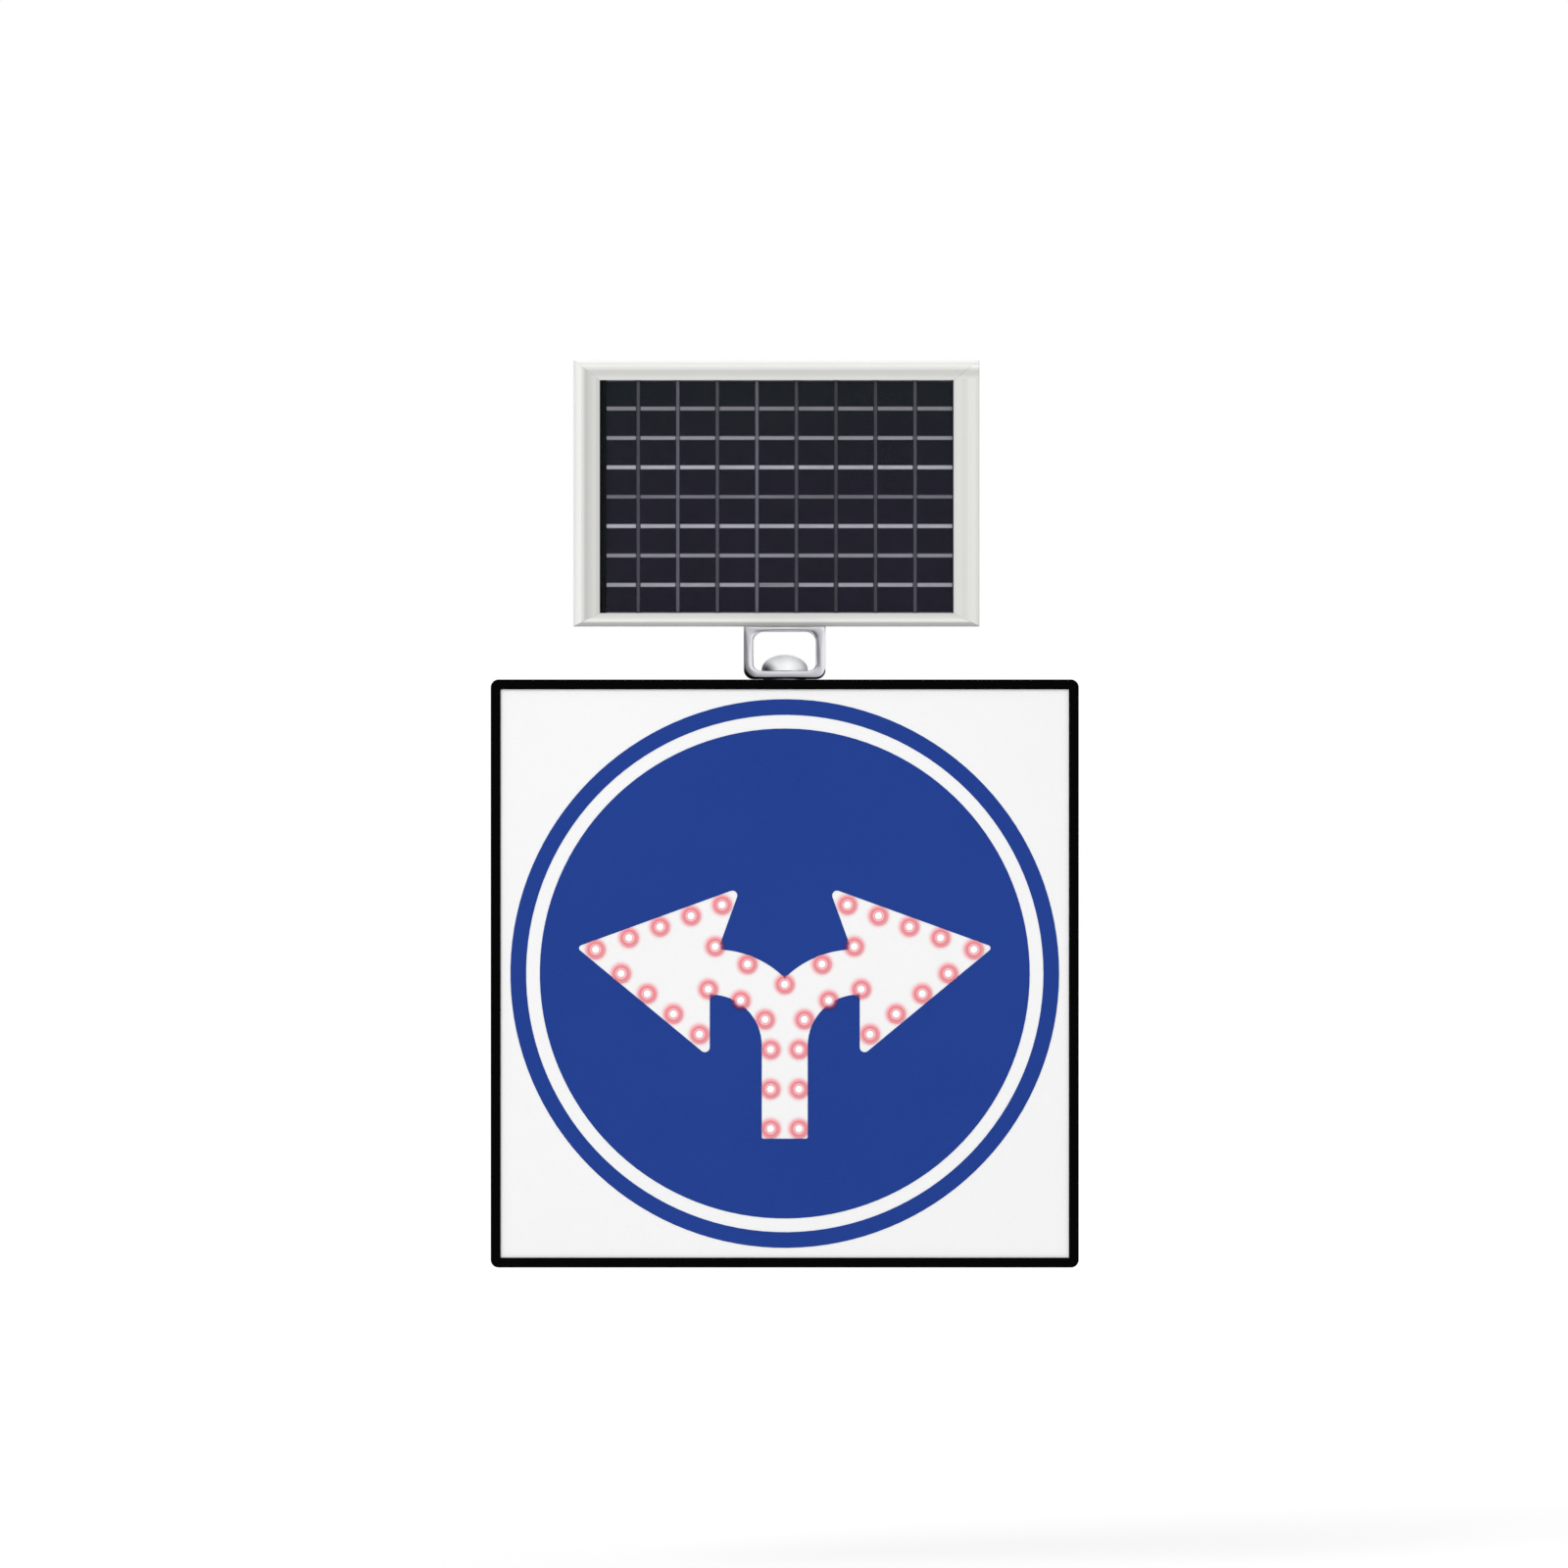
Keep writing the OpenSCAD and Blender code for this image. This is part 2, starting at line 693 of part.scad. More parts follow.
// Places of the spacers on the left lamp board and on the middle one
left_spacers = [[-125, 8], [-86, 40], [-92, -38]];
stem_spacers = [[0, -45], [0, -120]];
spacer_places = concat(left_spacers, mirrored(left_spacers), stem_spacers);
side_board_x = stem_board_half + board_split;

// Part of the arrow-shaped lamp board between x0 and x1
module lamp_board(x0, x1) {
    color(board_green) difference() {
        intersection() {
            slab(board_front, board_back) polygon(arrow_outline);
            box_slab([x0, -half_side, x1, half_side], board_front - 1, board_back + 1);
        }
        at_each(spacer_places) y_bar(small_screw_r + hole_gap, board_front - 1, board_back + 1);
    }
}

module led_board_left() {
    lamp_board(-half_side, -side_board_x);
}

module led_board_right() {
    lamp_board(side_board_x, half_side);
}

module led_board_stem() {
    lamp_board(-stem_board_half, stem_board_half);
}

spacer_bore = 5;

module board_spacers() {
    color(zinc) at_each(spacer_places) difference() {
        y_bar(spacer_r, plate_back, board_front);
        y_bar(small_screw_r + thread_gap, board_front - spacer_bore, board_front + 1);
    }
}

module board_screws() {
    color(zinc) at_each(spacer_places)
        rear_screw(board_back, small_head_r, small_head_h, small_screw_r, board_t + spacer_bore - 1);
}

// Control board and battery, both on the back cover

control_x = control_edge - half_side;
battery_x = half_side - battery_edge;
control_front = cover_front - stand_h;
control_face = control_front - board_t;
control_box = [control_x - control_w / 2, inside_z - control_h / 2,
    control_x + control_w / 2, inside_z + control_h / 2];
stand_places = [
    for (x = [control_box[0] + control_inset, control_box[2] - control_inset])
        for (z = [control_box[1] + control_inset, control_box[3] - control_inset]) [x, z]
];
stand_bore = 6;

module control_board() {
    color(board_green) difference() {
        box_slab(control_box, control_face, control_front);
        at_each(stand_places) y_bar(small_screw_r + hole_gap, control_face - 1, control_front + 1);
    }
}

// Terminal block, chip, heat sink, coil and capacitors on the face of the control board
terminal = [48, 12, 11];
terminal_drop = 28;
charger_chip = [14, 14, 3];
chip_off = [-18, 4];
heat_sink = [22, 22, 10];
sink_off = [30, 2];
coil_r = 9;
coil_hole_r = 4;
coil_h = 8;
coil_off = [5, 22];
capacitor_r = 5;
capacitor_h = 13;
capacitor_off = [-36, 26];
capacitor_pitch = 14;

// Block centred on a place of the control board, standing off its face
module board_block(off, size) {
    x = control_x + off[0];
    z = inside_z + off[1];
    box_slab([x - size[0] / 2, z - size[1] / 2, x + size[0] / 2, z + size[1] / 2],
        control_face - size[2], control_face);
}

module control_parts() {
    color([0.2, 0.22, 0.24]) {
        board_block([0, -terminal_drop], terminal);
        board_block(chip_off, charger_chip);
        board_block(sink_off, heat_sink);
        for (i = [0, 1])
            translate([control_x + capacitor_off[0] + i * capacitor_pitch, 0, inside_z + capacitor_off[1]])
                y_bar(capacitor_r, control_face - capacitor_h, control_face);
        translate([control_x + coil_off[0], 0, inside_z + coil_off[1]]) difference() {
            y_bar(coil_r, control_face - coil_h, control_face);
            y_bar(coil_hole_r, control_face - coil_h - 1, control_face + 1);
        }
    }
}

module control_stands() {
    color(zinc) at_each(stand_places) difference() {
        union() {
            y_bar(spacer_r, control_front, cover_front);
            y_bar(spacer_r - 1, cover_front, cover_back);
        }
        y_bar(small_screw_r + thread_gap, control_front - 1, control_front + stand_bore);
    }
}

module control_screws() {
    color(zinc) at_each(stand_places) {
        y_bar(small_head_r, control_face - small_head_h, control_face);
        y_bar(small_screw_r, control_face, control_front + stand_bore - 1);
    }
}

can_pitch = 2 * cell_can_r + can_gap;
can_y = cover_front - tray_wall - cell_can_r;
can_top = can_y - cell_can_r;
pack_w = can_columns * cell_can_len + (can_columns + 1) * can_gap;
pack_h = can_rows * can_pitch + can_gap;
pack_box = [battery_x - pack_w / 2, inside_z - pack_h / 2, battery_x + pack_w / 2, inside_z + pack_h / 2];
tray_box = grown(pack_box, tray_wall);
strap_gap = 0.3;

module battery_tray() {
    color([0.15, 0.15, 0.16]) difference() {
        box_slab(tray_box, cover_front - tray_h, cover_front);
        box_slab(pack_box, cover_front - tray_h - 1, cover_front - tray_wall);
    }
}

module battery_cells() {
    color([0.2, 0.45, 0.6])
        for (i = [0:can_columns - 1]) for (z = spaced((can_rows - 1) * can_pitch, can_rows))
            translate([pack_box[0] + can_gap + i * (cell_can_len + can_gap), can_y, inside_z + z])
                rotate([0, 90, 0]) cylinder(r = cell_can_r, h = cell_can_len);
}

strap_x = pack_box[0] + can_gap + cell_can_len / 2;
strap_half = (tray_box[3] - tray_box[1]) / 2 + strap_gap;
strap_screw_places = [for (s = [-1, 1]) [strap_x, inside_z + s * (strap_half + strap_t + strap_foot / 2)]];

module battery_strap() {
    color(zinc) difference() {
        translate([strap_x - strap_w / 2, 0, inside_z]) rotate([90, 0, 90]) linear_extrude(height = strap_w)
            polygon([
                [cover_front, -strap_half - strap_t - strap_foot], [cover_front, -strap_half],
                [can_top - strap_gap, -strap_half], [can_top - strap_gap, strap_half],
                [cover_front, strap_half], [cover_front, strap_half + strap_t + strap_foot],
                [cover_front - strap_t, strap_half + strap_t + strap_foot],
                [cover_front - strap_t, strap_half + strap_t],
                [can_top - strap_gap - strap_t, strap_half + strap_t],
                [can_top - strap_gap - strap_t, -strap_half - strap_t],
                [cover_front - strap_t, -strap_half - strap_t],
                [cover_front - strap_t, -strap_half - strap_t - strap_foot]
            ]);
        at_each(strap_screw_places)
            y_bar(small_screw_r + thread_gap, cover_front - strap_t - 1, cover_front + 1);
    }
}

module battery_screws() {
    color(zinc) at_each(strap_screw_places)
        rear_screw(cover_back, small_head_r, small_head_h, small_screw_r, cover_t + strap_t + 2);
}

// Back of the sign box

module cover_gasket() {
    outer = grown(sign_box, -gasket_inset);
    outer_r = max(1, corner_r - gasket_inset);
    color([0.12, 0.12, 0.13]) difference() {
        slab(box_back, cover_front) polygon(round_box(outer, outer_r, outer_r));
        box_slab(grown(outer, -gasket_w), box_back - 1, cover_front + 1);
        at_each(cover_screw_places) y_bar(cover_screw_r + hole_gap, box_back - 1, cover_front + 1);
    }
}

// Places of the rivets in both flanges of the rail at height z
rivet_in = hat_w / 2 + hat_flange / 2;
function rivet_places(z) =
    [for (x = spaced(rivet_span, rivet_count)) for (s = [-1, 1]) [x, z + s * rivet_in]];
rail_z = half_side - rail_edge;
all_rivets = concat(rivet_places(rail_z), rivet_places(-rail_z));
gland_z = half_side - gland_drop;
gland_place = [[gland_x, gland_z]];
vent_place = [[gland_x, -gland_z]];

module back_cover() {
    edge_r = corner_r - cover_inset;
    color(zinc) difference() {
        slab(cover_front, cover_back) polygon(round_box(grown(sign_box, -cover_inset), edge_r, edge_r));
        at_each(cover_screw_places) y_bar(cover_screw_r + hole_gap, cover_front - 1, cover_back + 1);
        at_each(all_rivets) y_bar(rivet_r + thread_gap, cover_front - 1, cover_back + 1);
        at_each(stand_places) y_bar(spacer_r - 1 + thread_gap, cover_front - 1, cover_back + 1);
        at_each(strap_screw_places) y_bar(small_screw_r + hole_gap, cover_front - 1, cover_back + 1);
        at_each(gland_place) y_bar(gland_neck_r + thread_gap, cover_front - 1, cover_back + 1);
        at_each(vent_place) y_bar(vent_neck_r + thread_gap, cover_front - 1, cover_back + 1);
    }
}

module cover_screws() {
    color(zinc) at_each(cover_screw_places)
        rear_screw(cover_back, cover_head_r, cover_head_h, cover_screw_r, cover_screw_len);
}

// Hat-shaped rail that stands off the cover at height z
module mounting_rail(z) {
    w = hat_w / 2;
    f = w + hat_flange;
    color(zinc) difference() {
        translate([-hat_len / 2, 0, z]) rotate([90, 0, 90]) linear_extrude(height = hat_len) polygon([
            [cover_back, -f], [cover_back + hat_t, -f], [cover_back + hat_t, -w], [0, -w], [0, w],
            [cover_back + hat_t, w], [cover_back + hat_t, f], [cover_back, f], [cover_back, w - hat_t],
            [-hat_t, w - hat_t], [-hat_t, hat_t - w], [cover_back, hat_t - w]
        ]);
        at_each([for (s = [-1, 1]) [s * bolt_span_x / 2, z]]) y_bar(bolt_hole_r, -hat_t - 1, 1);
        at_each(rivet_places(z)) y_bar(rivet_r + thread_gap, cover_back - 1, cover_back + hat_t + 1);
    }
}

module mounting_rail_upper() {
    mounting_rail(rail_z);
}

module mounting_rail_lower() {
    mounting_rail(-rail_z);
}

rivet_tail_h = 2;
rivet_tail_r = 3.4;

module rail_rivets() {
    color(zinc) at_each(all_rivets) {
        rear_screw(cover_back + hat_t, rivet_head_r, rivet_head_h, rivet_r, hat_t + cover_t);
        y_bar(rivet_tail_r, cover_front - rivet_tail_h, cover_front);
    }
}

gland_neck_len = cover_t + gland_nut_h + 2;
gland_back = cover_back + gland_hex_h + gland_cap_h;
gland_cap_r = gland_hex_r - 2.5;

module cable_gland() {
    color([0.1, 0.1, 0.1]) at_each(gland_place) difference() {
        union() {
            slab(cover_back, cover_back + gland_hex_h) circle(r = gland_hex_r, $fn = 6);
            y_bar(gland_cap_r, cover_back + gland_hex_h, gland_back);
            y_bar(gland_neck_r, cover_back - gland_neck_len, cover_back);
        }
        y_bar(gland_bore_r, cover_back - gland_neck_len - 1, gland_back + 1);
    }
}

module gland_nut() {
    color([0.1, 0.1, 0.1]) at_each(gland_place) difference() {
        slab(cover_front - gland_nut_h, cover_front) circle(r = gland_hex_r, $fn = 6);
        y_bar(gland_neck_r + thread_gap, cover_front - gland_nut_h - 1, cover_front + 1);
    }
}

module vent_plug() {
    color([0.1, 0.1, 0.1]) at_each(vent_place)
        rear_screw(cover_back, vent_r, vent_h, vent_neck_r, cover_t + 4);
}

// Swivel

module pivot_bolt() {
    color("silver") translate([0, pivot_y, 0]) {
        intersection() {
            translate([0, 0, dome_z + dome_h - ball_r]) sphere(r = ball_r);
            translate([-dome_r - 1, -dome_r - 1, dome_z]) cube([2 * dome_r + 2, 2 * dome_r + 2, dome_h + 1]);
        }
        translate([0, 0, nut_z - pivot_nut_h - pivot_tail])
            cylinder(r = pivot_r, h = dome_z - nut_z + pivot_nut_h + pivot_tail);
    }
}

module swivel_washer() {
    color(zinc) translate([0, pivot_y, half_side]) difference() {
        cylinder(r = washer_r, h = washer_t);
        translate([0, 0, -1]) cylinder(r = pivot_r + hole_gap, h = washer_t + 2);
    }
}

stiff_gap = 2;

module stiffening_plate() {
    color(zinc) difference() {
        translate([-stiff_w / 2, rib_back + stiff_gap, nut_z])
            cube([stiff_w, box_back - rear_lip_t - rib_back - 2 * stiff_gap, stiff_t]);
        translate([0, pivot_y, nut_z - 1]) cylinder(r = pivot_r + hole_gap, h = stiff_t + 2);
    }
}

module pivot_nut() {
    color(zinc) translate([0, pivot_y, nut_z - pivot_nut_h]) difference() {
        cylinder(r = pivot_nut_r, h = pivot_nut_h, $fn = 6);
        translate([0, 0, -1]) cylinder(r = pivot_r + thread_gap, h = pivot_nut_h + 2);
    }
}

// Loop bracket that carries the panel

loop_box = [-loop_w / 2, loop_z, loop_w / 2, loop_top];
window_box = [
    loop_box[0] + loop_side_t, loop_z + loop_foot_t,
    loop_box[2] - loop_side_t, loop_top - loop_top_t
];
loop_front = pivot_y - loop_depth / 2;
ear_corner_r = 12;
ear_bolt_places = [for (s = [-1, 1]) [s * ear_bolt_span / 2, cross_mid]];

module loop_bracket() {
    color("silver") difference() {
        union() {
            slab(loop_front, loop_front + loop_depth) polygon(concat(
                arc([loop_box[0] + loop_outer_r, loop_z + loop_outer_r], loop_outer_r, 180, 270),
                arc([loop_box[2] - loop_outer_r, loop_z + loop_outer_r], loop_outer_r, -90, 0),
                [[loop_box[2], loop_top], [loop_box[0], loop_top]]
            ));
            slab(cross_back, ear_back) polygon(concat(
                [[-ear_w / 2, loop_top - 1], [ear_w / 2, loop_top - 1]],
                arc([ear_w / 2 - ear_corner_r, loop_top + ear_h - ear_corner_r], ear_corner_r, 0, 90),
                arc([ear_corner_r - ear_w / 2, loop_top + ear_h - ear_corner_r], ear_corner_r, 90, 180)
            ));
        }
        slab(loop_front - 1, loop_front + loop_depth + 1)
            polygon(round_box(window_box, loop_inner_r, loop_inner_r));
        translate([0, pivot_y, loop_z - 1]) cylinder(r = pivot_r + pivot_gap, h = loop_foot_t + 2);
        at_each(ear_bolt_places) y_bar(ear_bolt_r + hole_gap, cross_back - 1, ear_back + 1);
    }
}

cross_screw_in = 10;
cross_screw_off = 10;
cross_screw_places = [
    for (x = [panel_x0 + cross_screw_in, panel_x1 - cross_screw_in]) for (s = [-1, 1])
        [x, cross_mid + s * cross_screw_off]
];

module cross_rail() {
    color(zinc) difference() {
        box_slab([panel_x0 + cross_inset, cross_z, panel_x1 - cross_inset, cross_z + cross_h],
            panel_back, cross_back);
        at_each(cross_screw_places) y_bar(cross_screw_r + hole_gap, panel_back - 1, cross_back + 1);
        at_each(ear_bolt_places) y_bar(ear_bolt_r + hole_gap, panel_back - 1, cross_back + 1);
    }
}

module cross_rail_screws() {
    color(zinc) at_each(cross_screw_places)
        rear_screw(cross_back, cover_head_r, cover_head_h, cross_screw_r, cross_t + panel_rib_t + 2);
}

ear_head_r = 5.8;
ear_bolt_tail = 1.5;

module ear_bolts() {
    color(zinc) at_each(ear_bolt_places) {
        slab(ear_back, ear_back + ear_nut_h) circle(r = ear_head_r, $fn = 6);
        y_bar(ear_bolt_r, panel_back - ear_nut_h - ear_bolt_tail, ear_back);
    }
}

module ear_nuts() {
    color(zinc) at_each(ear_bolt_places) difference() {
        slab(panel_back - ear_nut_h, panel_back) circle(r = ear_head_r, $fn = 6);
        y_bar(ear_bolt_r + thread_gap, panel_back - ear_nut_h - 1, panel_back + 1);
    }
}

// Panel frame and glass

// Section of a panel rail of lip width w: bead, step, slope, glass slot and rear flange
bead_round = 2;
function panel_section(w) =
    let (bead = w * bead_share, tuck = w - glass_tuck - 0.5)
    concat(
        arc([bead_round, panel_front + bead_round], bead_round, 180, 270, 5),
        [
            [bead - 0.6, panel_front], [bead, panel_front + bead_step],
            [w, panel_front + bead_step + slope_fall], [w, glass_front], [tuck, glass_front],
            [tuck, laminate_back], [w - 2, laminate_back], [w - 2, laminate_back + panel_rib_t],
            [panel_wall, laminate_back + panel_rib_t], [panel_wall, panel_back - panel_rib_t],
            [panel_flange, panel_back - panel_rib_t], [panel_flange, panel_back], [0, panel_back]
        ]
    );

module panel_rail(side, w) {
    color(off_white) difference() {
        intersection() {
            side_run(side, panel_box, panel_section(w));
            slab(panel_front, panel_back)
                polygon(mitre_outline(side, panel_box, panel_lips, mitre_reach));
        }
        at_each(cross_screw_places)
            y_bar(cross_screw_r + thread_gap, panel_back - panel_rib_t - 1, panel_back + 1);
    }
}

module panel_rail_bottom() {
    panel_rail("bottom", lip_bottom);
}

module panel_rail_left() {
    panel_rail("left", lip_left);
}

module panel_rail_top() {
    panel_rail("top", lip_top);
}

module panel_rail_right() {
    panel_rail("right", lip_right);
}

panel_key_leg = 30;
panel_key_t = 2.5;
panel_key_gap = 1.5;

module panel_corner_keys() {
    color(zinc) keys(grown(panel_box, -panel_wall), panel_key_leg, panel_key_t,
        laminate_back + panel_rib_t + panel_key_gap, panel_back - panel_rib_t - panel_key_gap);
}

laminate_box = grown(opening, glass_tuck);

module panel_glass() {
    color([0.75, 0.85, 0.9, 0.35]) box_slab(laminate_box, glass_front, glass_back);
}

tape_gap = 0.5;
tape_overlap = 1;

module edge_tape() {
    color("black") box_slab(
        [opening[0] - glass_tuck / 2, opening[1] - tape_overlap,
            opening[0] + tape_w, opening[3] + tape_overlap],
        glass_back, ribbon_back);
}

cell_x0 = opening[0] - cell_tuck;
cell_z0 = opening[1] - cell_tuck;

module cell_ribbons() {
    color("silver") for (i = [0:cell_columns - 1]) for (k = [0:cell_rows - 1]) {
        x0 = max(cell_x0 + i * cell_pitch_x + cell_gap / 2, opening[0] + tape_w + tape_gap);
        x1 = cell_x0 + (i + 1) * cell_pitch_x - cell_gap / 2;
        z = cell_z0 + (k + 0.5) * cell_pitch_z;
        box_slab([x0, z - ribbon_w / 2, x1, z + ribbon_w / 2], glass_back, ribbon_back);
    }
}

module solar_cells() {
    color([0.13, 0.13, 0.18]) for (i = [0:cell_columns - 1]) for (k = [0:cell_rows - 1]) {
        x = cell_x0 + i * cell_pitch_x + cell_gap / 2;
        z = cell_z0 + k * cell_pitch_z + cell_gap / 2;
        box_slab([x, z, x + cell_pitch_x - cell_gap, z + cell_pitch_z - cell_gap], ribbon_back, wafer_back);
    }
}

module backsheet() {
    color("white") box_slab(laminate_box, wafer_back, laminate_back);
}

// Junction box on the back of the panel

junction_area = [junction_x - junction_w / 2, junction_z - junction_h / 2,
    junction_x + junction_w / 2, junction_z + junction_h / 2];
junction_post_r = 3;
junction_screw_in = junction_wall + 2.5;
junction_corners = [
    for (x = [junction_area[0] + junction_screw_in, junction_area[2] - junction_screw_in])
        for (z = [junction_area[1] + junction_screw_in, junction_area[3] - junction_screw_in]) [x, z]
];
junction_neck_wall = 1.3;
junction_neck_r = junction_bore_r + junction_neck_wall;
junction_cap_r = junction_neck_r + 0.7;
junction_cap_h = 10;
junction_gland_y = laminate_back + (junction_wall + junction_d) / 2;

module junction_box() {
    color([0.08, 0.08, 0.09]) difference() {
        box_slab(junction_area, laminate_back, junction_back);
        difference() {
            box_slab(grown(junction_area, -junction_wall), laminate_back + junction_wall, junction_back + 1);
            at_each(junction_corners) y_bar(junction_post_r, laminate_back, junction_back + 2);
        }
        at_each(junction_corners)
            y_bar(small_screw_r + thread_gap, laminate_back + junction_wall + 1, junction_back + 1);
        translate([junction_x, junction_gland_y, junction_area[1] - 1])
            cylinder(r = junction_neck_r + thread_gap, h = junction_wall + 2);
    }
}

module junction_lid() {
    color([0.08, 0.08, 0.09]) difference() {
        box_slab(junction_area, junction_back, junction_back + junction_lid_t);
        at_each(junction_corners)
            y_bar(small_screw_r + hole_gap, junction_back - 1, junction_back + junction_lid_t + 1);
    }
}

junction_screw_len = 9;

module junction_screws() {
    color(zinc) at_each(junction_corners)
        rear_screw(junction_back + junction_lid_t, small_head_r, small_head_h / 2, small_screw_r,
            junction_screw_len);
}

module junction_gland() {
    color([0.1, 0.1, 0.1]) translate([junction_x, junction_gland_y, junction_area[1]]) difference() {
        union() {
            translate([0, 0, -junction_cap_h]) cylinder(r = junction_cap_r, h = junction_cap_h);
            cylinder(r = junction_neck_r, h = junction_wall + 3);
        }
        translate([0, 0, -junction_cap_h - 1])
            cylinder(r = junction_bore_r, h = junction_cap_h + junction_wall + 5);
    }
}

frame_rail_bottom();
frame_rail_left();
frame_rail_top();
frame_rail_right();
corner_keys();
face_plate();
white_sheeting();
blue_ring_film();
blue_disc_film();
led_bezels();
led_bulbs();
led_board_left();
led_board_right();
led_board_stem();
board_spacers();
board_screws();
control_board();
control_parts();
control_stands();
control_screws();
battery_tray();
battery_cells();
battery_strap();
battery_screws();
cover_gasket();
back_cover();
cover_screws();
mounting_rail_upper();
mounting_rail_lower();
rail_rivets();
cable_gland();
gland_nut();
vent_plug();
pivot_bolt();
swivel_washer();
stiffening_plate();
pivot_nut();
loop_bracket();
cross_rail();
cross_rail_screws();
ear_bolts();
ear_nuts();
panel_rail_bottom();
panel_rail_left();
panel_rail_top();
panel_rail_right();
panel_corner_keys();
panel_glass();
edge_tape();
cell_ribbons();
solar_cells();
backsheet();
junction_box();
junction_lid();
junction_screws();
junction_gland();
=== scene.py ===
"""Looks of a solar powered LED traffic sign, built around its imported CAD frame.

Lengths in the properties are metres, as in the frame. X runs right as the sign is read, Y runs
to the rear and Z runs up.
"""

import json
import math
from contextlib import contextmanager
from functools import partial

import bmesh
import bpy
from bpy.props import FloatProperty, FloatVectorProperty, IntProperty, PointerProperty
from mathutils import Matrix, Vector
from mathutils.bvhtree import BVHTree
from mathutils.geometry import delaunay_2d_cdt


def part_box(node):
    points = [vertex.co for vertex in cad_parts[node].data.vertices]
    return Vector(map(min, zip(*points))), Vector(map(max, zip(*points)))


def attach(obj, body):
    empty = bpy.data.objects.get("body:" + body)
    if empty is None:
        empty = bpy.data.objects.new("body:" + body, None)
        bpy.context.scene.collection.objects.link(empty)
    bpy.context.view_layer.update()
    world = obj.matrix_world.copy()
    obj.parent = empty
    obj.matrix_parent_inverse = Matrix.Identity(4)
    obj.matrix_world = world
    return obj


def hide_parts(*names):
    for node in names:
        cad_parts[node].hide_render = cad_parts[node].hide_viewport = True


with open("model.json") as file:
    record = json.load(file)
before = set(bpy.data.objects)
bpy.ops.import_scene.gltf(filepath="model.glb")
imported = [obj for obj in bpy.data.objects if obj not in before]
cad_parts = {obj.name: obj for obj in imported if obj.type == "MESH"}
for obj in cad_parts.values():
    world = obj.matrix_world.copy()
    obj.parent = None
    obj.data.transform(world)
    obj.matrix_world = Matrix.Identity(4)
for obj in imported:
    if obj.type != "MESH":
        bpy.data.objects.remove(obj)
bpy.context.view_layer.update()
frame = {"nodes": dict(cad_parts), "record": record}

bl_info = {
    "name": "Solar LED traffic sign",
    "version": (1, 0, 0),
    "blender": (4, 5, 0),
    "location": "3D View > Sidebar > Traffic sign",
    "description": "Dresses the sign box, its lamps and its swivelling solar panel",
    "category": "Object",
}

SIGN, PANEL = "sign_body", "panel_head"
NODES = frame["nodes"]
SLOT_OF = {part["node"]: part["material_slot"] for part in frame["record"]["subparts"]}
# Points of a mesh that lie nearer than this are one point
WELD = 1e-6
SMOOTH_ANGLE = 32.0


# Values a user would change


def colour_property(name, description, default):
    return FloatVectorProperty(
        name=name, description=description, default=default, subtype="COLOR", size=3, min=0.0, max=1.0
    )


def length_property(name, description, default, top=0.02):
    return FloatProperty(
        name=name, description=description, default=default, min=0.0, max=top,
        subtype="DISTANCE", unit="LENGTH",
    )


class SignColours(bpy.types.PropertyGroup):
    """Colours of the sign's finishes, linear"""

    frame_black: colour_property("Frame black", "Powder coat of the box", (0.0009, 0.0009, 0.0010))
    face_white: colour_property("Face white", "Reflective sheeting", (0.945, 0.945, 0.945))
    film_blue: colour_property("Film blue", "Ring and disc films", (0.0100, 0.0450, 0.272))
    lamp_red: colour_property("Lamp red", "Lamp rings and their glow", (0.89, 0.222, 0.266))
    lamp_white: colour_property("Lamp white", "Middle of a lit lamp", (1.0, 0.93, 0.93))
    panel_cream: colour_property("Panel frame", "Coated frame of the panel", (0.96, 0.96, 0.928))
    cell_low: colour_property("Cell violet", "Solar cells at the foot of the panel", (0.0094, 0.0070, 0.0180))
    cell_high: colour_property("Cell teal", "Solar cells at the head of the panel", (0.0040, 0.0078, 0.0115))
    gap_violet: colour_property("Gap violet", "Laminate seen between the cells", (0.085, 0.083, 0.105))
    ribbon_grey: colour_property("Ribbon grey", "Tinned ribbons", (0.52, 0.52, 0.58))
    steel: colour_property("Zinc", "Zinc plated steel", (0.62, 0.63, 0.64))
    chrome: colour_property("Polished metal", "Loop bracket and its bolt", (0.80, 0.795, 0.825))


class SignShapes(bpy.types.PropertyGroup):
    """Sizes that only the looks use"""

    edge_ease: length_property("Edge ease", "Broken edge on cut metal", 0.0004)
    coat_ease: length_property("Coated edge", "Rounded edge on coated rails", 0.0006)
    moulded_ease: length_property("Moulded edge", "Rounded edge on moulded plastic", 0.00055)
    bar_round: length_property("Bar rounding", "Rounding of the loop bracket's bars", 0.0052)
    painted_glow_reach: length_property("Glow reach", "Radius of the glow round a lamp", 0.0140, 0.03)
    lamp_steps: IntProperty(name="Lamp steps", description="Faces round a lamp", default=40, min=16, max=64)


class SignStage(bpy.types.PropertyGroup):
    """Floor, light and camera"""

    floor_drop: length_property("Floor drop", "Floor below the middle of the sign", 0.62, 2.0)
    camera_distance: length_property("Camera distance", "Camera in front of the frame", 12.0, 40.0)
    view_width: length_property("View width", "Width seen at the sign's front", 1.6, 4.0)
    sky_strength: FloatProperty(
        name="Sky", description="Even light from all round", default=0.82, min=0, max=3
    )
    key_power: FloatProperty(
        name="Key", description="Soft lamp at the upper left", default=112.0, unit="POWER"
    )


# Meshes


def put(name, mesh):
    """A new object for a mesh that already lies in its place."""
    piece = bpy.data.objects.new(name, mesh)
    bpy.context.scene.collection.objects.link(piece)
    return piece


def mesh_of(name, points, faces=()):
    mesh = bpy.data.meshes.new(name)
    mesh.from_pydata([tuple(p) for p in points], [], faces)
    mesh.validate()
    return mesh


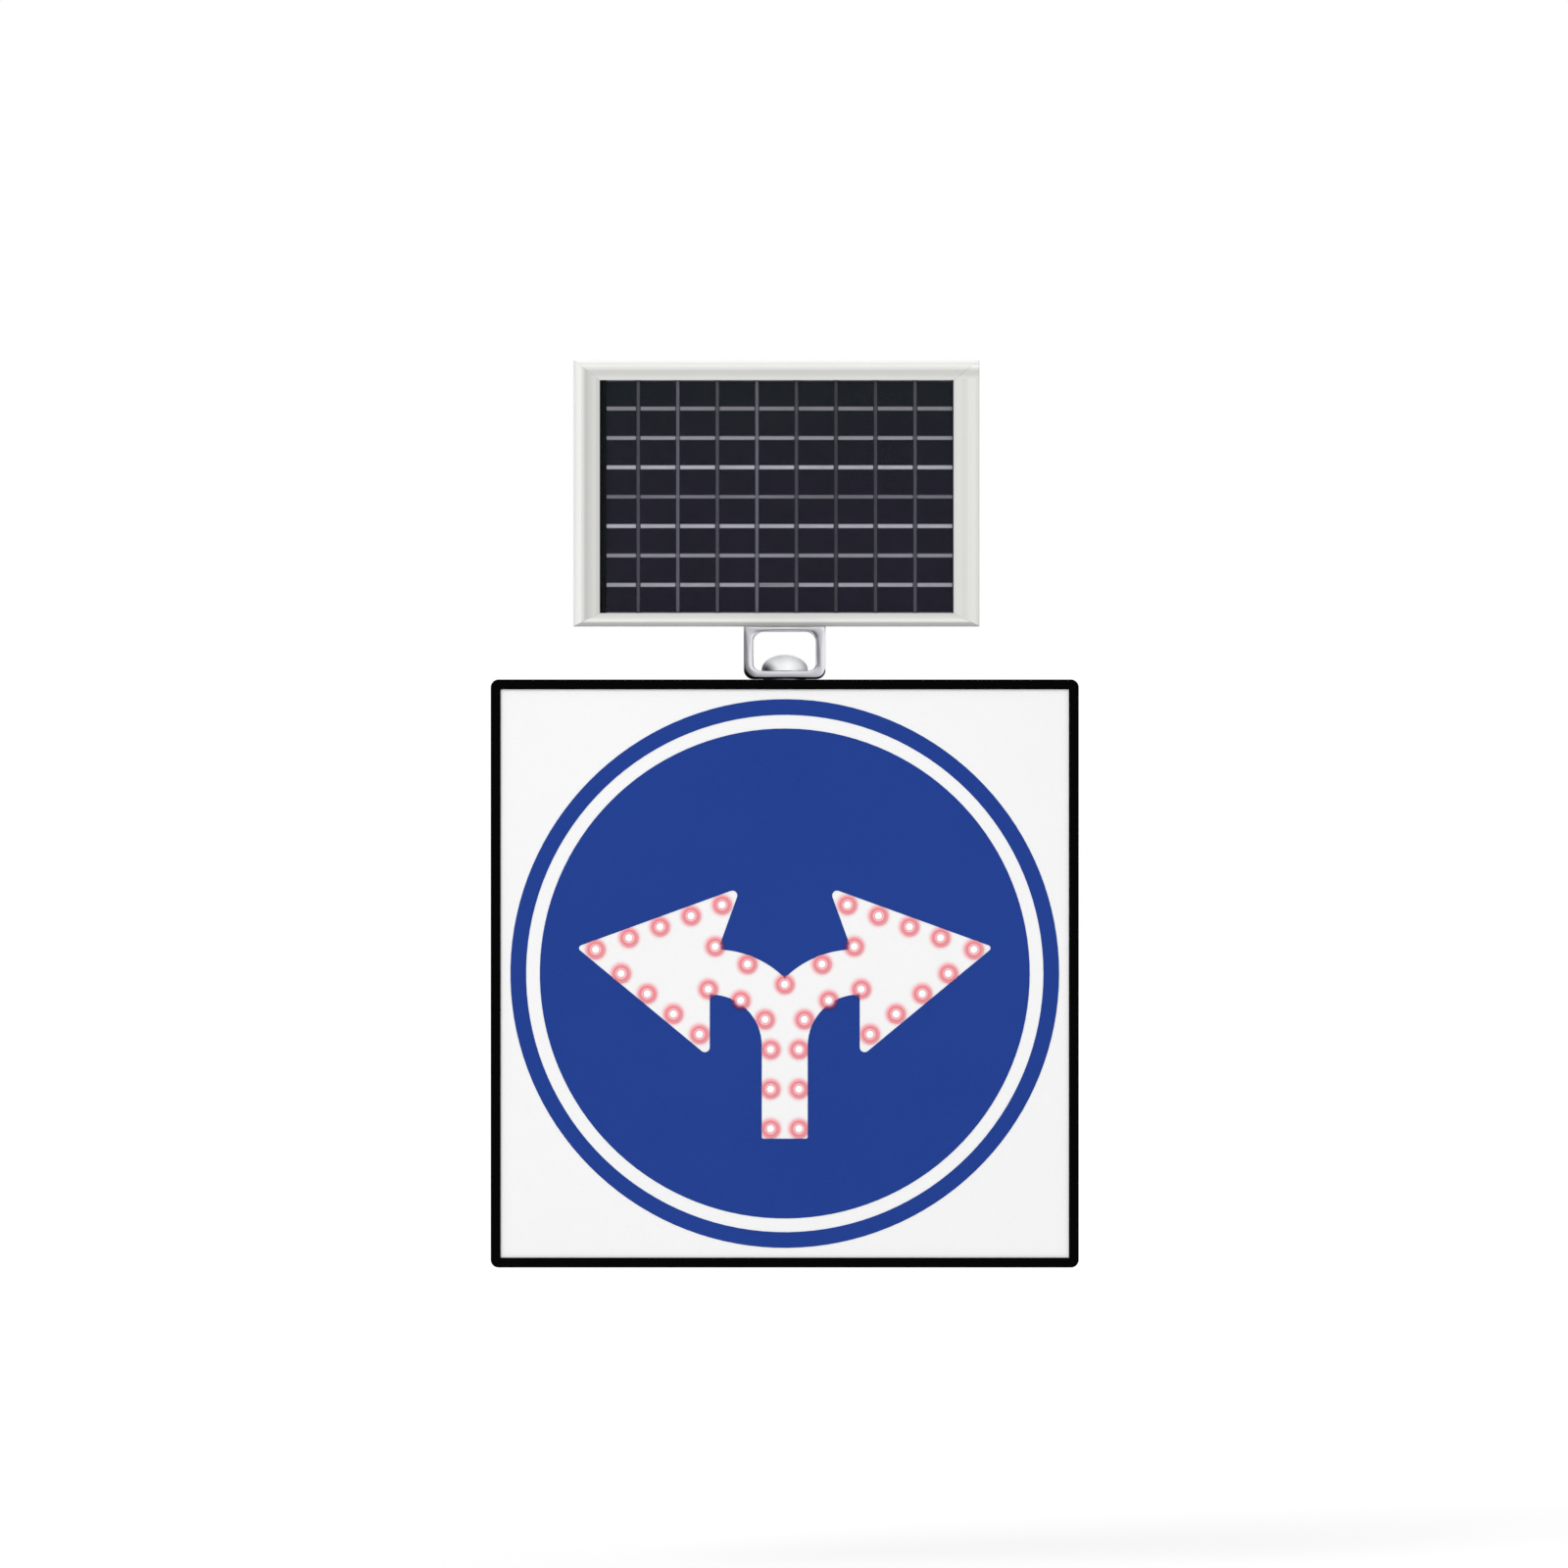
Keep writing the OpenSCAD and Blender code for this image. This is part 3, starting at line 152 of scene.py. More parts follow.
@contextmanager
def opened(mesh, *sources):
    """A work mesh of the sources, or else of the mesh, which is written to the mesh at the end."""
    work = bmesh.new()
    for source in sources or (mesh,):
        work.from_mesh(source)
    yield work
    work.to_mesh(mesh)
    work.free()


def shade(mesh, angle=SMOOTH_ANGLE):
    """Smooth shading that keeps edges above an angle sharp."""
    mesh.polygons.foreach_set("use_smooth", [True] * len(mesh.polygons))
    mesh.set_sharp_from_angle(angle=math.radians(angle))
    mesh.update()
    return mesh


def tidy_mesh(mesh, angle=SMOOTH_ANGLE):
    """Merges doubles, turns the faces outwards and shades the mesh smooth up to an angle."""
    with opened(mesh) as work:
        bmesh.ops.remove_doubles(work, verts=work.verts, dist=WELD)
        bmesh.ops.recalc_face_normals(work, faces=work.faces)
    return shade(mesh, angle)


def point_values(mesh, name, values):
    """Keeps one value for each point of a mesh, for a material to read."""
    mesh.attributes.new(name, "FLOAT", "POINT").data.foreach_set("value", values)
    return mesh


def made_plain(piece):
    """Gives a piece the plain mesh that its modifiers make."""
    bpy.context.view_layer.update()
    graph = bpy.context.evaluated_depsgraph_get()
    old, name = piece.data, piece.data.name
    mesh = bpy.data.meshes.new_from_object(
        piece.evaluated_get(graph), preserve_all_data_layers=True, depsgraph=graph
    )
    piece.modifiers.clear()
    piece.data = mesh
    bpy.data.meshes.remove(old)
    mesh.name = name
    return piece


def lean(piece):
    """Turns the shading at each corner towards its larger face, so that broad faces look flat."""
    change = piece.modifiers.new("lean", "WEIGHTED_NORMAL")
    change.keep_sharp = True
    change.weight = 90
    return made_plain(piece)


def eased(node, width, least=38.0, name=None):
    """A CAD node with its edges rounded where they are sharper than the least angle."""
    name = name or node + "_eased"
    mesh = bpy.data.meshes.new(name)
    with opened(mesh, NODES[node].data) as work:
        bmesh.ops.remove_doubles(work, verts=work.verts, dist=WELD)
        bmesh.ops.dissolve_limit(
            work, angle_limit=math.radians(0.6), verts=work.verts, edges=work.edges,
            use_dissolve_boundaries=False,
        )
        sharp = [e for e in work.edges if e.is_manifold and e.calc_face_angle(0.0) > math.radians(least)]
        bmesh.ops.bevel(
            work, geom=sharp, offset=width, offset_type="OFFSET", segments=2, profile=0.5,
            affect="EDGES", clamp_overlap=True, harden_normals=False,
        )
        bmesh.ops.remove_doubles(work, verts=work.verts, dist=2 * WELD)
        bmesh.ops.recalc_face_normals(work, faces=work.faces)
    return lean(put(name, shade(mesh)))


def islands(node):
    """Low and high corners of each separate solid in a CAD node."""
    work = bmesh.new()
    work.from_mesh(NODES[node].data)
    bmesh.ops.remove_doubles(work, verts=work.verts, dist=WELD)
    left, found = set(work.verts), []
    while left:
        open_ends, spots = [left.pop()], []
        while open_ends:
            point = open_ends.pop()
            spots.append(point.co.copy())
            for edge in point.link_edges:
                other = edge.other_vert(point)
                if other in left:
                    left.remove(other)
                    open_ends.append(other)
        found.append(tuple(Vector(pick(axis) for axis in zip(*spots)) for pick in (min, max)))
    work.free()
    return sorted(found, key=lambda b: (round(b[0].x, 5), round(b[0].z, 5)))


def middles(node):
    """X and Z of the middle of each solid in a CAD node."""
    return [((low.x + high.x) / 2, (low.z + high.z) / 2) for low, high in islands(node)]


def radius_of(node):
    """Half the width of a CAD node's first solid."""
    low, high = islands(node)[0]
    return (high.x - low.x) / 2


# Middle radius and swing of a six-lobed drive; ribs of a cap, where they end, and their grooves' radius
LOBE_MIDDLE, LOBE_SWING = 0.86, 0.14
RIBS, RIB_END, GROOVE = 18, -0.2, 0.955


def rim(kind, turn):
    """Radius of a rim at an angle, as a share of the radius across its corners."""
    if kind == "hex":
        return math.cos(math.pi / 6) / math.cos((turn % (math.pi / 3)) - math.pi / 6)
    if kind == "star":
        return LOBE_MIDDLE + LOBE_SWING * math.cos(6 * turn)
    if kind == "ribbed":
        return 1.0 if math.cos(RIBS * turn) > RIB_END else GROOVE
    return 1.0


def turned(name, profile, steps=32, axis="Y", closed=False, angle=SMOOTH_ANGLE):
    """A solid of revolution through (radius, height, rim) points round Y or Z."""
    points, rings = [], []
    for radius, height, *kind in profile:
        ring = []
        for k in range(steps if radius > 0 else 1):
            turn = math.tau * k / steps
            r = radius * rim(kind[0] if kind else "", turn)
            a, b = r * math.cos(turn), r * math.sin(turn)
            ring.append(len(points))
            points.append((a, height, b) if axis == "Y" else (a, b, height))
        rings.append(ring)
    faces = []
    for one, two in list(zip(rings, rings[1:])) + ([(rings[-1], rings[0])] if closed else []):
        for k in range(steps):
            n = (k + 1) % steps
            corners = (one[k % len(one)], one[n % len(one)], two[n % len(two)], two[k % len(two)])
            faces.append(tuple(dict.fromkeys(corners)))
    return tidy_mesh(mesh_of(name, points, faces), angle)


def arc_points(cx, cy, radius, start, steps):
    """Points along a quarter circle from a start angle in degrees."""
    turns = [math.radians(start + 90 * k / steps) for k in range(steps + 1)]
    return [(cx + radius * math.cos(turn), cy + radius * math.sin(turn)) for turn in turns]


# Repeated pieces


def new_nodes(tree, kinds, prefix="ShaderNode"):
    """A new node for each kind in a line of words."""
    return [tree.nodes.new(prefix + kind) for kind in kinds.split()]


def fill(node, values):
    """Sets the inputs of a node that nothing is linked to."""
    for key, value in values.items():
        node.inputs[key].default_value = value


def wired(tree, *rows):
    """Links nodes, with a row of node, output, node and input for each link."""
    for source, output, target, entry in rows:
        tree.links.new(source.outputs[output], target.inputs[entry])


def set_stops(node, stops):
    """Sets a ramp's stops from rows of a place and a grey or a colour."""
    band = node.color_ramp
    for k, (spot, tone) in enumerate(stops):
        stop = band.elements[k] if k < 2 else band.elements.new(spot)
        stop.position = spot
        stop.color = (*tone, 1.0) if isinstance(tone, tuple) else (tone, tone, tone, 1.0)


def new_group(name, kind, inputs, outputs):
    """A new node group and its end nodes, from rows of a socket's name, kind and any default."""
    group = bpy.data.node_groups.new(name, kind)
    for way, rows in (("INPUT", inputs), ("OUTPUT", outputs)):
        for label, socket_kind, *default in rows:
            socket = group.interface.new_socket(label, in_out=way, socket_type="NodeSocket" + socket_kind)
            if default:
                socket.default_value = default[0]
    return group, *new_nodes(group, "Input Output", "NodeGroup")


def scatter_tree():
    """Geometry Nodes tree that sets one small piece on every point."""
    name = "Pieces on points"
    if name in bpy.data.node_groups:
        return bpy.data.node_groups[name]
    inputs = (
        ("Points", "Geometry"), ("Piece", "Object"), ("Size", "Float", 1.0), ("Least turn", "Float", 0.0),
        ("Most turn", "Float", 0.0), ("Seed", "Int", 7), ("Finish", "Material"),
    )
    tree, given, out = new_group(name, "GeometryNodeTree", inputs, [("Geometry", "Geometry")])
    info, place, real, paint = new_nodes(
        tree, "ObjectInfo InstanceOnPoints RealizeInstances SetMaterial", "GeometryNode"
    )
    turn, upright = new_nodes(tree, "FunctionNodeRandomValue ShaderNodeCombineXYZ", "")
    fill(info, {"As Instance": True})
    turn.data_type = "FLOAT"
    wired(
        tree,
        (given, "Piece", info, "Object"), (given, "Least turn", turn, 2), (given, "Most turn", turn, 3),
        (given, "Seed", turn, "Seed"), (turn, 1, upright, "Y"), (given, "Points", place, "Points"),
        (info, "Geometry", place, "Instance"), (upright, "Vector", place, "Rotation"),
        (given, "Size", place, "Scale"), (place, "Instances", real, "Geometry"),
        (real, "Geometry", paint, "Geometry"), (given, "Finish", paint, "Material"),
        (paint, "Geometry", out, "Geometry"),
    )
    return tree


def scattered(name, template, places, finish, turn=0.0, seed=7):
    """Sets a template mesh on every (x, z) place and returns the plain piece."""
    tree = scatter_tree()
    pattern = put(name + "_pattern", template)
    piece = put(name, mesh_of(name, [(x, 0.0, z) for x, z in places]))
    modifier = piece.modifiers.new("Pieces", "NODES")
    modifier.node_group = tree
    values = {
        "Piece": pattern, "Size": 1.0, "Least turn": 0.0, "Most turn": turn, "Seed": seed, "Finish": finish,
    }
    for item in tree.interface.items_tree:
        if item.item_type == "SOCKET" and item.in_out == "INPUT" and item.name in values:
            modifier[item.identifier] = values[item.name]
    made_plain(piece)
    bpy.data.objects.remove(pattern)
    if not len(piece.data.polygons):
        raise RuntimeError(name + " has no faces")
    shade(piece.data)
    return piece


# Materials


def grain_group():
    """Fine grain for bumps and slow patches for shade and gloss."""
    name = "Grain and patches"
    if name in bpy.data.node_groups:
        return bpy.data.node_groups[name]
    inputs = (
        ("Vector", "Vector"), ("Stretch", "Vector", (1.0, 1.0, 1.0)), ("Grain scale", "Float", 900.0),
        ("Patch scale", "Float", 12.0),
    )
    group, given, out = new_group(
        name, "ShaderNodeTree", inputs, (("Grain", "Float"), ("Patches", "Float"))
    )
    pull, fine, slow = new_nodes(group, "VectorMath TexNoise TexNoise")
    pull.operation = "MULTIPLY"
    fill(fine, {"Detail": 3.0})
    fill(slow, {"Detail": 4.0, "Roughness": 0.62})
    wired(
        group,
        (given, "Vector", pull, 0), (given, "Stretch", pull, 1), (pull, "Vector", fine, "Vector"),
        (given, "Grain scale", fine, "Scale"), (given, "Vector", slow, "Vector"),
        (given, "Patch scale", slow, "Scale"), (fine, "Fac", out, "Grain"), (slow, "Fac", out, "Patches"),
    )
    return group


def dust_group():
    """Mask of dust that settles on faces that look up, broken by noise."""
    name = "Settled dust"
    if name in bpy.data.node_groups:
        return bpy.data.node_groups[name]
    inputs = (("Vector", "Vector"), ("Amount", "Float", 0.1))
    group, given, out = new_group(name, "ShaderNodeTree", inputs, [("Mask", "Float")])
    shape, split, noise, up, spots, both, scaled = new_nodes(
        group, "NewGeometry SeparateXYZ TexNoise MapRange MapRange Math Math"
    )
    fill(noise, {"Scale": 60.0, "Detail": 5.0})
    fill(up, {"From Min": 0.3})
    fill(spots, {"From Min": 0.38, "From Max": 0.72})
    both.operation = scaled.operation = "MULTIPLY"
    wired(
        group,
        (shape, "Normal", split, "Vector"), (split, "Z", up, "Value"), (given, "Vector", noise, "Vector"),
        (noise, "Fac", spots, "Value"), (up, "Result", both, 0), (spots, "Result", both, 1),
        (both, "Value", scaled, 0), (given, "Amount", scaled, 1), (scaled, "Value", out, "Mask"),
    )
    return group


class Finish:
    """One material: a Principled shader with grain, patches and any layers of colour on top."""

    def __init__(
        self, name, colour, roughness, metallic=0.0, specular=0.5, vary=0.05, gloss_vary=0.06,
        grain=900.0, patch=12.0, bump=0.00002, stretch=(1, 1, 1), dust=0.0,
    ):
        self.material = bpy.data.materials.new(name)
        self.material.use_nodes = True
        tree = self.material.node_tree
        self.new, self.wire = tree.nodes.new, tree.links.new
        self.shader = tree.nodes["Principled BSDF"]
        fill(self.shader, {"Metallic": metallic, "Specular IOR Level": specular})
        self.place = self.new("ShaderNodeTexCoord").outputs["Object"]
        texture = self.group(grain_group(), {"Stretch": stretch, "Grain scale": grain, "Patch scale": patch})
        self.grain, self.patches = texture.outputs["Grain"], texture.outputs["Patches"]
        self.feed("Roughness", self.spread(self.patches, roughness - gloss_vary, roughness + gloss_vary))
        dark = tuple(c * (1 - vary) for c in colour)
        light = tuple(min(1.0, c * (1 + vary)) for c in colour)
        self.colour = self.mix(dark, light, self.spread(self.patches, 0.0, 1.0))
        relief = self.new("ShaderNodeBump")
        fill(relief, {"Strength": 1.0, "Distance": bump})
        self.wire(self.grain, relief.inputs["Height"])
        self.feed("Normal", relief.outputs["Normal"])
        if dust:
            self.layer(DUST_COLOUR, self.group(dust_group(), {"Amount": dust}).outputs["Mask"])

    def group(self, tree, values):
        node = self.new("ShaderNodeGroup")
        node.node_tree = tree
        fill(node, values)
        self.wire(self.place, node.inputs["Vector"])
        return node

    def feed(self, key, value):
        self.wire(value, self.shader.inputs[key])

    def give(self, socket, value):
        if isinstance(value, bpy.types.NodeSocket):
            self.wire(value, socket)
        else:
            socket.default_value = (*value, 1.0) if isinstance(value, tuple) else value

    def spread(self, value, low, high, start=0.3, end=0.7):
        node = self.new("ShaderNodeMapRange")
        for socket, item in zip(node.inputs, (value, start, end, low, high)):
            self.give(socket, item)
        return node.outputs["Result"]

    def mix(self, one, two, share, blend="MIX"):
        node = self.new("ShaderNodeMix")
        node.data_type, node.blend_type = "RGBA", blend
        for socket, value in ((0, share), (6, one), (7, two)):
            self.give(node.inputs[socket], value)
        return node.outputs[2]

    def math(self, operation, one, two):
        node = self.new("ShaderNodeMath")
        node.operation = operation
        self.give(node.inputs[0], one)
        self.give(node.inputs[1], two)
        return node.outputs["Value"]

    def layer(self, colour, share):
        self.colour = self.mix(self.colour, colour, share)

    def attribute(self, name):
        node = self.new("ShaderNodeAttribute")
        node.attribute_name = name
        return node.outputs["Fac"]

    def ramp(self, value, stops):
        node = self.new("ShaderNodeValToRGB")
        set_stops(node, stops)
        self.wire(value, node.inputs["Fac"])
        return node.outputs["Color"]

    def cells(self, scale, output="Distance", **settings):
        """A pattern of small cells."""
        node = self.new("ShaderNodeTexVoronoi")
        for key, value in settings.items():
            setattr(node, key, value)
        fill(node, {"Scale": scale})
        self.wire(self.place, node.inputs["Vector"])
        return node.outputs[output]

    def film_lines(self, depth):
        """Thin lines between the small cells of reflective film."""
        return self.spread(self.cells(330.0, feature="DISTANCE_TO_EDGE"), depth, 0.0, 0.0, 0.10)

    def done(self):
        self.feed("Base Color", self.colour)
        return self.material


DUST_COLOUR = (0.45, 0.43, 0.39)
FINISHES, MAKERS = {}, {}


def finish_for(slot):
    """The material of a record's slot, made when it is first asked for."""
    if slot not in FINISHES:
        FINISHES[slot] = MAKERS[slot]()
    return FINISHES[slot]


def tint(key, factor=1.0):
    """One of the sign's colours, made lighter or darker by a factor."""
    return tuple(c * factor for c in getattr(bpy.context.scene.sign_colours, key))


def finish(slot, name, colour, roughness, **values):
    """Keeps the maker of a slot's material; the function that follows adds its layers."""
    def keep(add_layers=None):
        def make():
            made = Finish(name, tint(colour) if isinstance(colour, str) else colour, roughness, **values)
            if add_layers:
                add_layers(made)
            return made.done()
        MAKERS[slot] = make
        return add_layers
    return keep


finish(
    "black_frame", "Black powder coat", "frame_black", 0.50, specular=0.03, vary=0.12, gloss_vary=0.05,
    grain=1500.0, bump=0.00003, dust=0.006,
)()
finish(
    "black_plastic", "Black moulded plastic", (0.018, 0.018, 0.019), 0.55, specular=0.4, vary=0.10,
    grain=1400.0, bump=0.00005, dust=0.06,
)()
finish("electronic_part", "Component case", (0.05, 0.05, 0.055), 0.5, vary=0.15, patch=90.0, bump=0.00003)()
finish("cell_can", "Cell wrap", (0.02, 0.12, 0.32), 0.28, vary=0.08, grain=300.0, patch=30.0, bump=0.00003)()
finish(
    "seal_rubber", "Seal rubber", (0.022, 0.022, 0.022), 0.72, specular=0.3, vary=0.12, grain=1000.0,
    bump=0.00006,
)()
finish(
    "polished_metal", "Polished metal", "chrome", 0.13, metallic=1.0, vary=0.02, gloss_vary=0.035,
    stretch=(1.0, 1.0, 0.08), patch=25.0, bump=0.000002,
)()
# The black tape stands in for the shadow of the frame's lip along the cells' left edge: painted shadow
finish("black_tape", "Black tape", (0.0035, 0.0045, 0.0055), 0.5, specular=0.06, vary=0.15, grain=1500.0)()


@finish(
    "aluminium_sheet", "Rolled aluminium", (0.60, 0.61, 0.62), 0.42, metallic=0.85, gloss_vary=0.07,
    grain=700.0, stretch=(0.03, 1.0, 1.0), patch=7.0, dust=0.08,
)
def sheet_aluminium(made):
    made.layer((0.50, 0.51, 0.53), made.spread(made.grain, 0.0, 0.35, 0.35, 0.75))


@finish(
    "white_sheeting", "White reflective sheeting", "face_white", 0.34, specular=0.2, vary=0.008,
    gloss_vary=0.04, grain=1600.0, patch=5.0, bump=0.000006,
)
def reflective_white(made):
    made.layer(tint("face_white", 0.93), made.film_lines(0.30))
    # Painted light: the lamps' pink glow on the sheeting, from the 'glow' values
    made.layer((0.97, 0.26, 0.30), made.attribute("glow"))


@finish(
    "blue_film", "Blue film", "film_blue", 0.36, specular=0.15, vary=0.04, gloss_vary=0.05, grain=1300.0,
    patch=6.0, bump=0.000006,
)
def blue_film(made):
    made.layer(tint("film_blue", 1.25), made.film_lines(0.35))


# Share of pale lamp light painted into a lamp's ring, which also lifts its rounded outer edge, and its colour
# over the blue film, by distance from the middle
RING_PAINTED_LIGHT = ((0.43, 1.0), (0.50, 0.74), (0.60, 0.21), (0.70, 0.0), (0.80, 0.10), (0.90, 0.43), (0.97, 0.70))
RING_CRIMSON = (
    (0.45, (0.92, 0.66, 0.68)), (0.56, (0.58, 0.21, 0.30)), (0.70, (0.28, 0.050, 0.150)),
    (0.80, (0.14, 0.026, 0.130)), (0.96, (0.055, 0.025, 0.15)),
)
LENS_ROSE = ((0.33, 0.0), (0.44, 0.75))
LENS_LIGHT = ((0.0, (1.0, 0.98, 0.98)), (0.32, (0.95, 0.82, 0.82)), (0.43, (0.40, 0.22, 0.22)))


@finish(
    "red_lens", "Red lamp ring", "lamp_red", 0.30, specular=0.3, vary=0.02, gloss_vary=0.03,
    grain=1100.0, bump=0.00001,
)
def lamp_ring(made):
    reach = made.attribute("radius")
    # Painted light: the lamp's pale glow in its ring
    made.layer((0.98, 0.68, 0.70), made.ramp(reach, RING_PAINTED_LIGHT))
    made.layer(made.ramp(reach, RING_CRIMSON), made.attribute("over_film"))


@finish("lamp", "Lit lamp", "lamp_white", 0.12, vary=0.01, gloss_vary=0.02, grain=500.0, bump=0.00001)
def lamp_lens(made):
    reach = made.attribute("radius")
    made.layer((0.97, 0.68, 0.69), made.ramp(reach, LENS_ROSE))
    made.feed("Emission Color", made.ramp(reach, LENS_LIGHT))
    made.shader.inputs["Emission Strength"].default_value = 0.25


@finish(
    "circuit_board", "Circuit board", (0.03, 0.17, 0.08), 0.38, specular=0.45, vary=0.10, grain=600.0,
    patch=40.0,
)
def circuit_board(made):
    tracks = made.cells(120.0, distance="MANHATTAN", feature="F1")
    made.layer((0.06, 0.30, 0.14), made.spread(tracks, 0.0, 0.7, 0.42, 0.47))


@finish(
    "zinc_steel", "Zinc plate", "steel", 0.33, metallic=1.0, vary=0.07, gloss_vary=0.10, grain=1200.0,
    patch=45.0, bump=0.00001, dust=0.05,
)
def zinc_plate(made):
    made.layer((0.50, 0.51, 0.53), made.math("MULTIPLY", made.cells(150.0, "Color"), 0.35))


@finish(
    "satin_dome", "Satin dome", (0.97, 0.975, 0.98), 0.32, specular=0.3, vary=0.015, gloss_vary=0.04,
    grain=700.0, patch=40.0, bump=0.000002,
)
def satin_dome(made):
    # Painted shade from the 'shade' values: dark at the foot of the dome's left side, standing in for the
    # dark room that it mirrors
    made.layer((0.035, 0.038, 0.046), made.attribute("shade"))


# Painted light and shade across each rail of the panel's frame, standing in for the light on its bead, groove
# and slope, with a painted shadow line along the foot of the bottom rail: millimetres from its outer edge,
# and brightness
RAIL_PAINTED_SHADE = {
    "left": (
        (0, 0.98), (2, 0.95), (3.5, 1.04), (4.5, 1.075), (7.5, 1.075), (8.5, 1.06), (9.5, 0.997),
        (10.5, 0.864), (11.5, 0.762), (12.5, 0.682), (13.5, 0.687), (16.5, 0.748), (19.5, 0.816),
        (22, 0.845), (24.5, 0.757),
    ),
    "right": (
        (0, 1.0), (2, 0.88), (5, 0.975), (11, 0.955), (13, 0.90), (16, 0.86), (19, 0.912), (23, 0.905),
        (26, 0.835),
    ),
    "top": (
        (0.5, 1.18), (1.5, 1.16), (2.5, 1.11), (3.5, 1.03), (4.5, 1.02), (5.5, 1.134), (6.5, 1.197),
        (7.5, 1.08), (8.5, 0.953), (9.5, 0.895), (10.5, 0.814), (11.5, 0.783), (14.5, 0.794),
        (15.5, 0.823), (16.5, 0.858), (17.5, 0.92), (18.5, 0.92),
    ),
    "bottom": (
        (0, 0.85), (1.5, 0.55), (2.5, 0.52), (3.5, 0.565), (4.5, 0.82), (5.5, 1.04), (6.5, 1.015),
        (7.5, 0.963), (9, 0.865), (13, 0.78),
    ),
    "": ((0, 0.95), (30, 0.95)),
}
BRIGHTEST_PAINTED_SHADE = 1.20
# Width in millimetres that the painted shade is spread over
PAINTED_SHADE_WIDTH = 30


def panel_coat_with_painted_shade(side):
    made = Finish(
        "Panel frame coat " + side, tint("panel_cream"), 0.40, specular=0.3, vary=0.010, grain=900.0,
        stretch=(0.15, 1.0, 0.15), patch=9.0, bump=0.00001, dust=0.02,
    )
    stops = [(d / PAINTED_SHADE_WIDTH, tone / BRIGHTEST_PAINTED_SHADE) for d, tone in RAIL_PAINTED_SHADE[side]]
    # Multiplies the coat's colour by the painted light and shade of the rail's side
    tone = made.ramp(made.attribute("reach"), stops)
    made.colour = made.mix(made.colour, tone, 1.0, "MULTIPLY")
    return made.done()


@finish(
    "panel_glass", "Panel glass", (0.02, 0.025, 0.03), 0.06, vary=0.02, gloss_vary=0.03, grain=150.0,
    patch=8.0, bump=0.000002,
)
def panel_glass(made):
    made.feed("Alpha", made.spread(made.patches, 0.055, 0.085))


CELL_ROWS, CELL_COLUMNS, CELL_GAP = 4, 9, 0.0022
# Half widths of the lines across, of the lines down and of the breaks beside these, and their soft edge
LINE_HALF, GAP_HALF, BREAK_HALF, LINE_SOFT = 0.00195, 0.0016, 0.0025, 0.0004
# Painted sheen that each line across shows, from the foot of the panel to its head
LINE_PAINTED_SHEEN = (
    (0.0, 0.7), (0.124, 0.80), (0.25, 0.53), (0.38, 1.0), (0.502, 0.235), (0.628, 1.0), (0.754, 0.55),
    (0.88, 0.50),
)
# Tone of each line down, from the left to the right
GAP_TONES = (1.0, 1.74, 1.08, 1.93, 0.96, 0.70, 0.82, 1.11)


class CellLines:
    """Where the lines between the solar cells lie for a material, and what they look like."""

    def __init__(self, made):
        self.made = made
        split = made.new("ShaderNodeSeparateXYZ")
        made.wire(made.place, split.inputs["Vector"])
        self.x, self.y, self.z = split.outputs
        self.low, self.high = low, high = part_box("solar_cells")
        self.height = made.spread(self.z, 0.0, 1.0, low.z, high.z)
        column = (high.x - low.x + CELL_GAP) / CELL_COLUMNS
        row = (high.z - low.z + CELL_GAP) / CELL_ROWS
        across = self.waves(self.x, low.x, column / 2)
        line = self.waves(self.z, low.z, row / 4)
        whole = self.edge(across, BREAK_HALF, 0.0, 1.0)
        self.flat = made.math("MULTIPLY", self.edge(line, LINE_HALF, 1.0, 0.0), whole)
        self.upright = self.edge(across, GAP_HALF, 1.0, 0.0)
        # Painted sheen of the lines across, by height
        self.light = made.ramp(self.height, LINE_PAINTED_SHEEN)

    def waves(self, value, start, half):
        """Distance from the nearest of the evenly spaced lines."""
        return self.made.math("PINGPONG", self.made.math("SUBTRACT", value, start - CELL_GAP / 2), half)

    def edge(self, value, width, inside, outside):
        return self.made.spread(value, inside, outside, width - LINE_SOFT, width + LINE_SOFT)

    def gap_colour(self):
        """Violet of the gaps between the columns, brighter in some of them."""
        share = self.made.spread(self.x, 0.0, 1.0, self.low.x, self.high.x)
        stops = [((k + 1) / CELL_COLUMNS, value / 2) for k, value in enumerate(GAP_TONES)]
        return self.made.mix((0.0, 0.0, 0.0), tint("gap_violet", 2), self.made.ramp(share, stops))


@finish(
    "solar_cell", "Solar cell", "cell_low", 0.34, specular=0.10, vary=0.14, gloss_vary=0.05, grain=1500.0,
    patch=26.0, bump=0.000004,
)
def solar_cell(made):
    lines = CellLines(made)
    teal = made.ramp(lines.height, ((0.0, 0.0), (0.55, 0.12), (0.8, 0.7), (1.0, 1.0)))
    made.layer(tint("cell_high"), teal)
    finger = made.math("PINGPONG", lines.x, 0.001)
    made.layer((0.030, 0.030, 0.042), made.spread(finger, 0.5, 0.0, 0.00004, 0.00012))
    made.layer(lines.gap_colour(), lines.upright)
    # Lines across in ribbon grey, as bright as their painted sheen
    made.layer(tint("ribbon_grey"), made.math("MULTIPLY", lines.flat, lines.light))


@finish(
    "ribbon", "Tinned ribbon", "ribbon_grey", 0.45, specular=0.2, vary=0.10, gloss_vary=0.08, grain=600.0,
    stretch=(0.2, 1, 1), patch=55.0,
)
def tinned_ribbon(made):
    lines = CellLines(made)
    # Painted shade: the ribbons are darker where their painted sheen is low
    made.layer((0.02, 0.02, 0.03), made.math("SUBTRACT", 1.0, lines.light))
    made.layer((0.012, 0.012, 0.018), made.math("SUBTRACT", 1.0, lines.flat))
    made.layer(lines.gap_colour(), lines.upright)


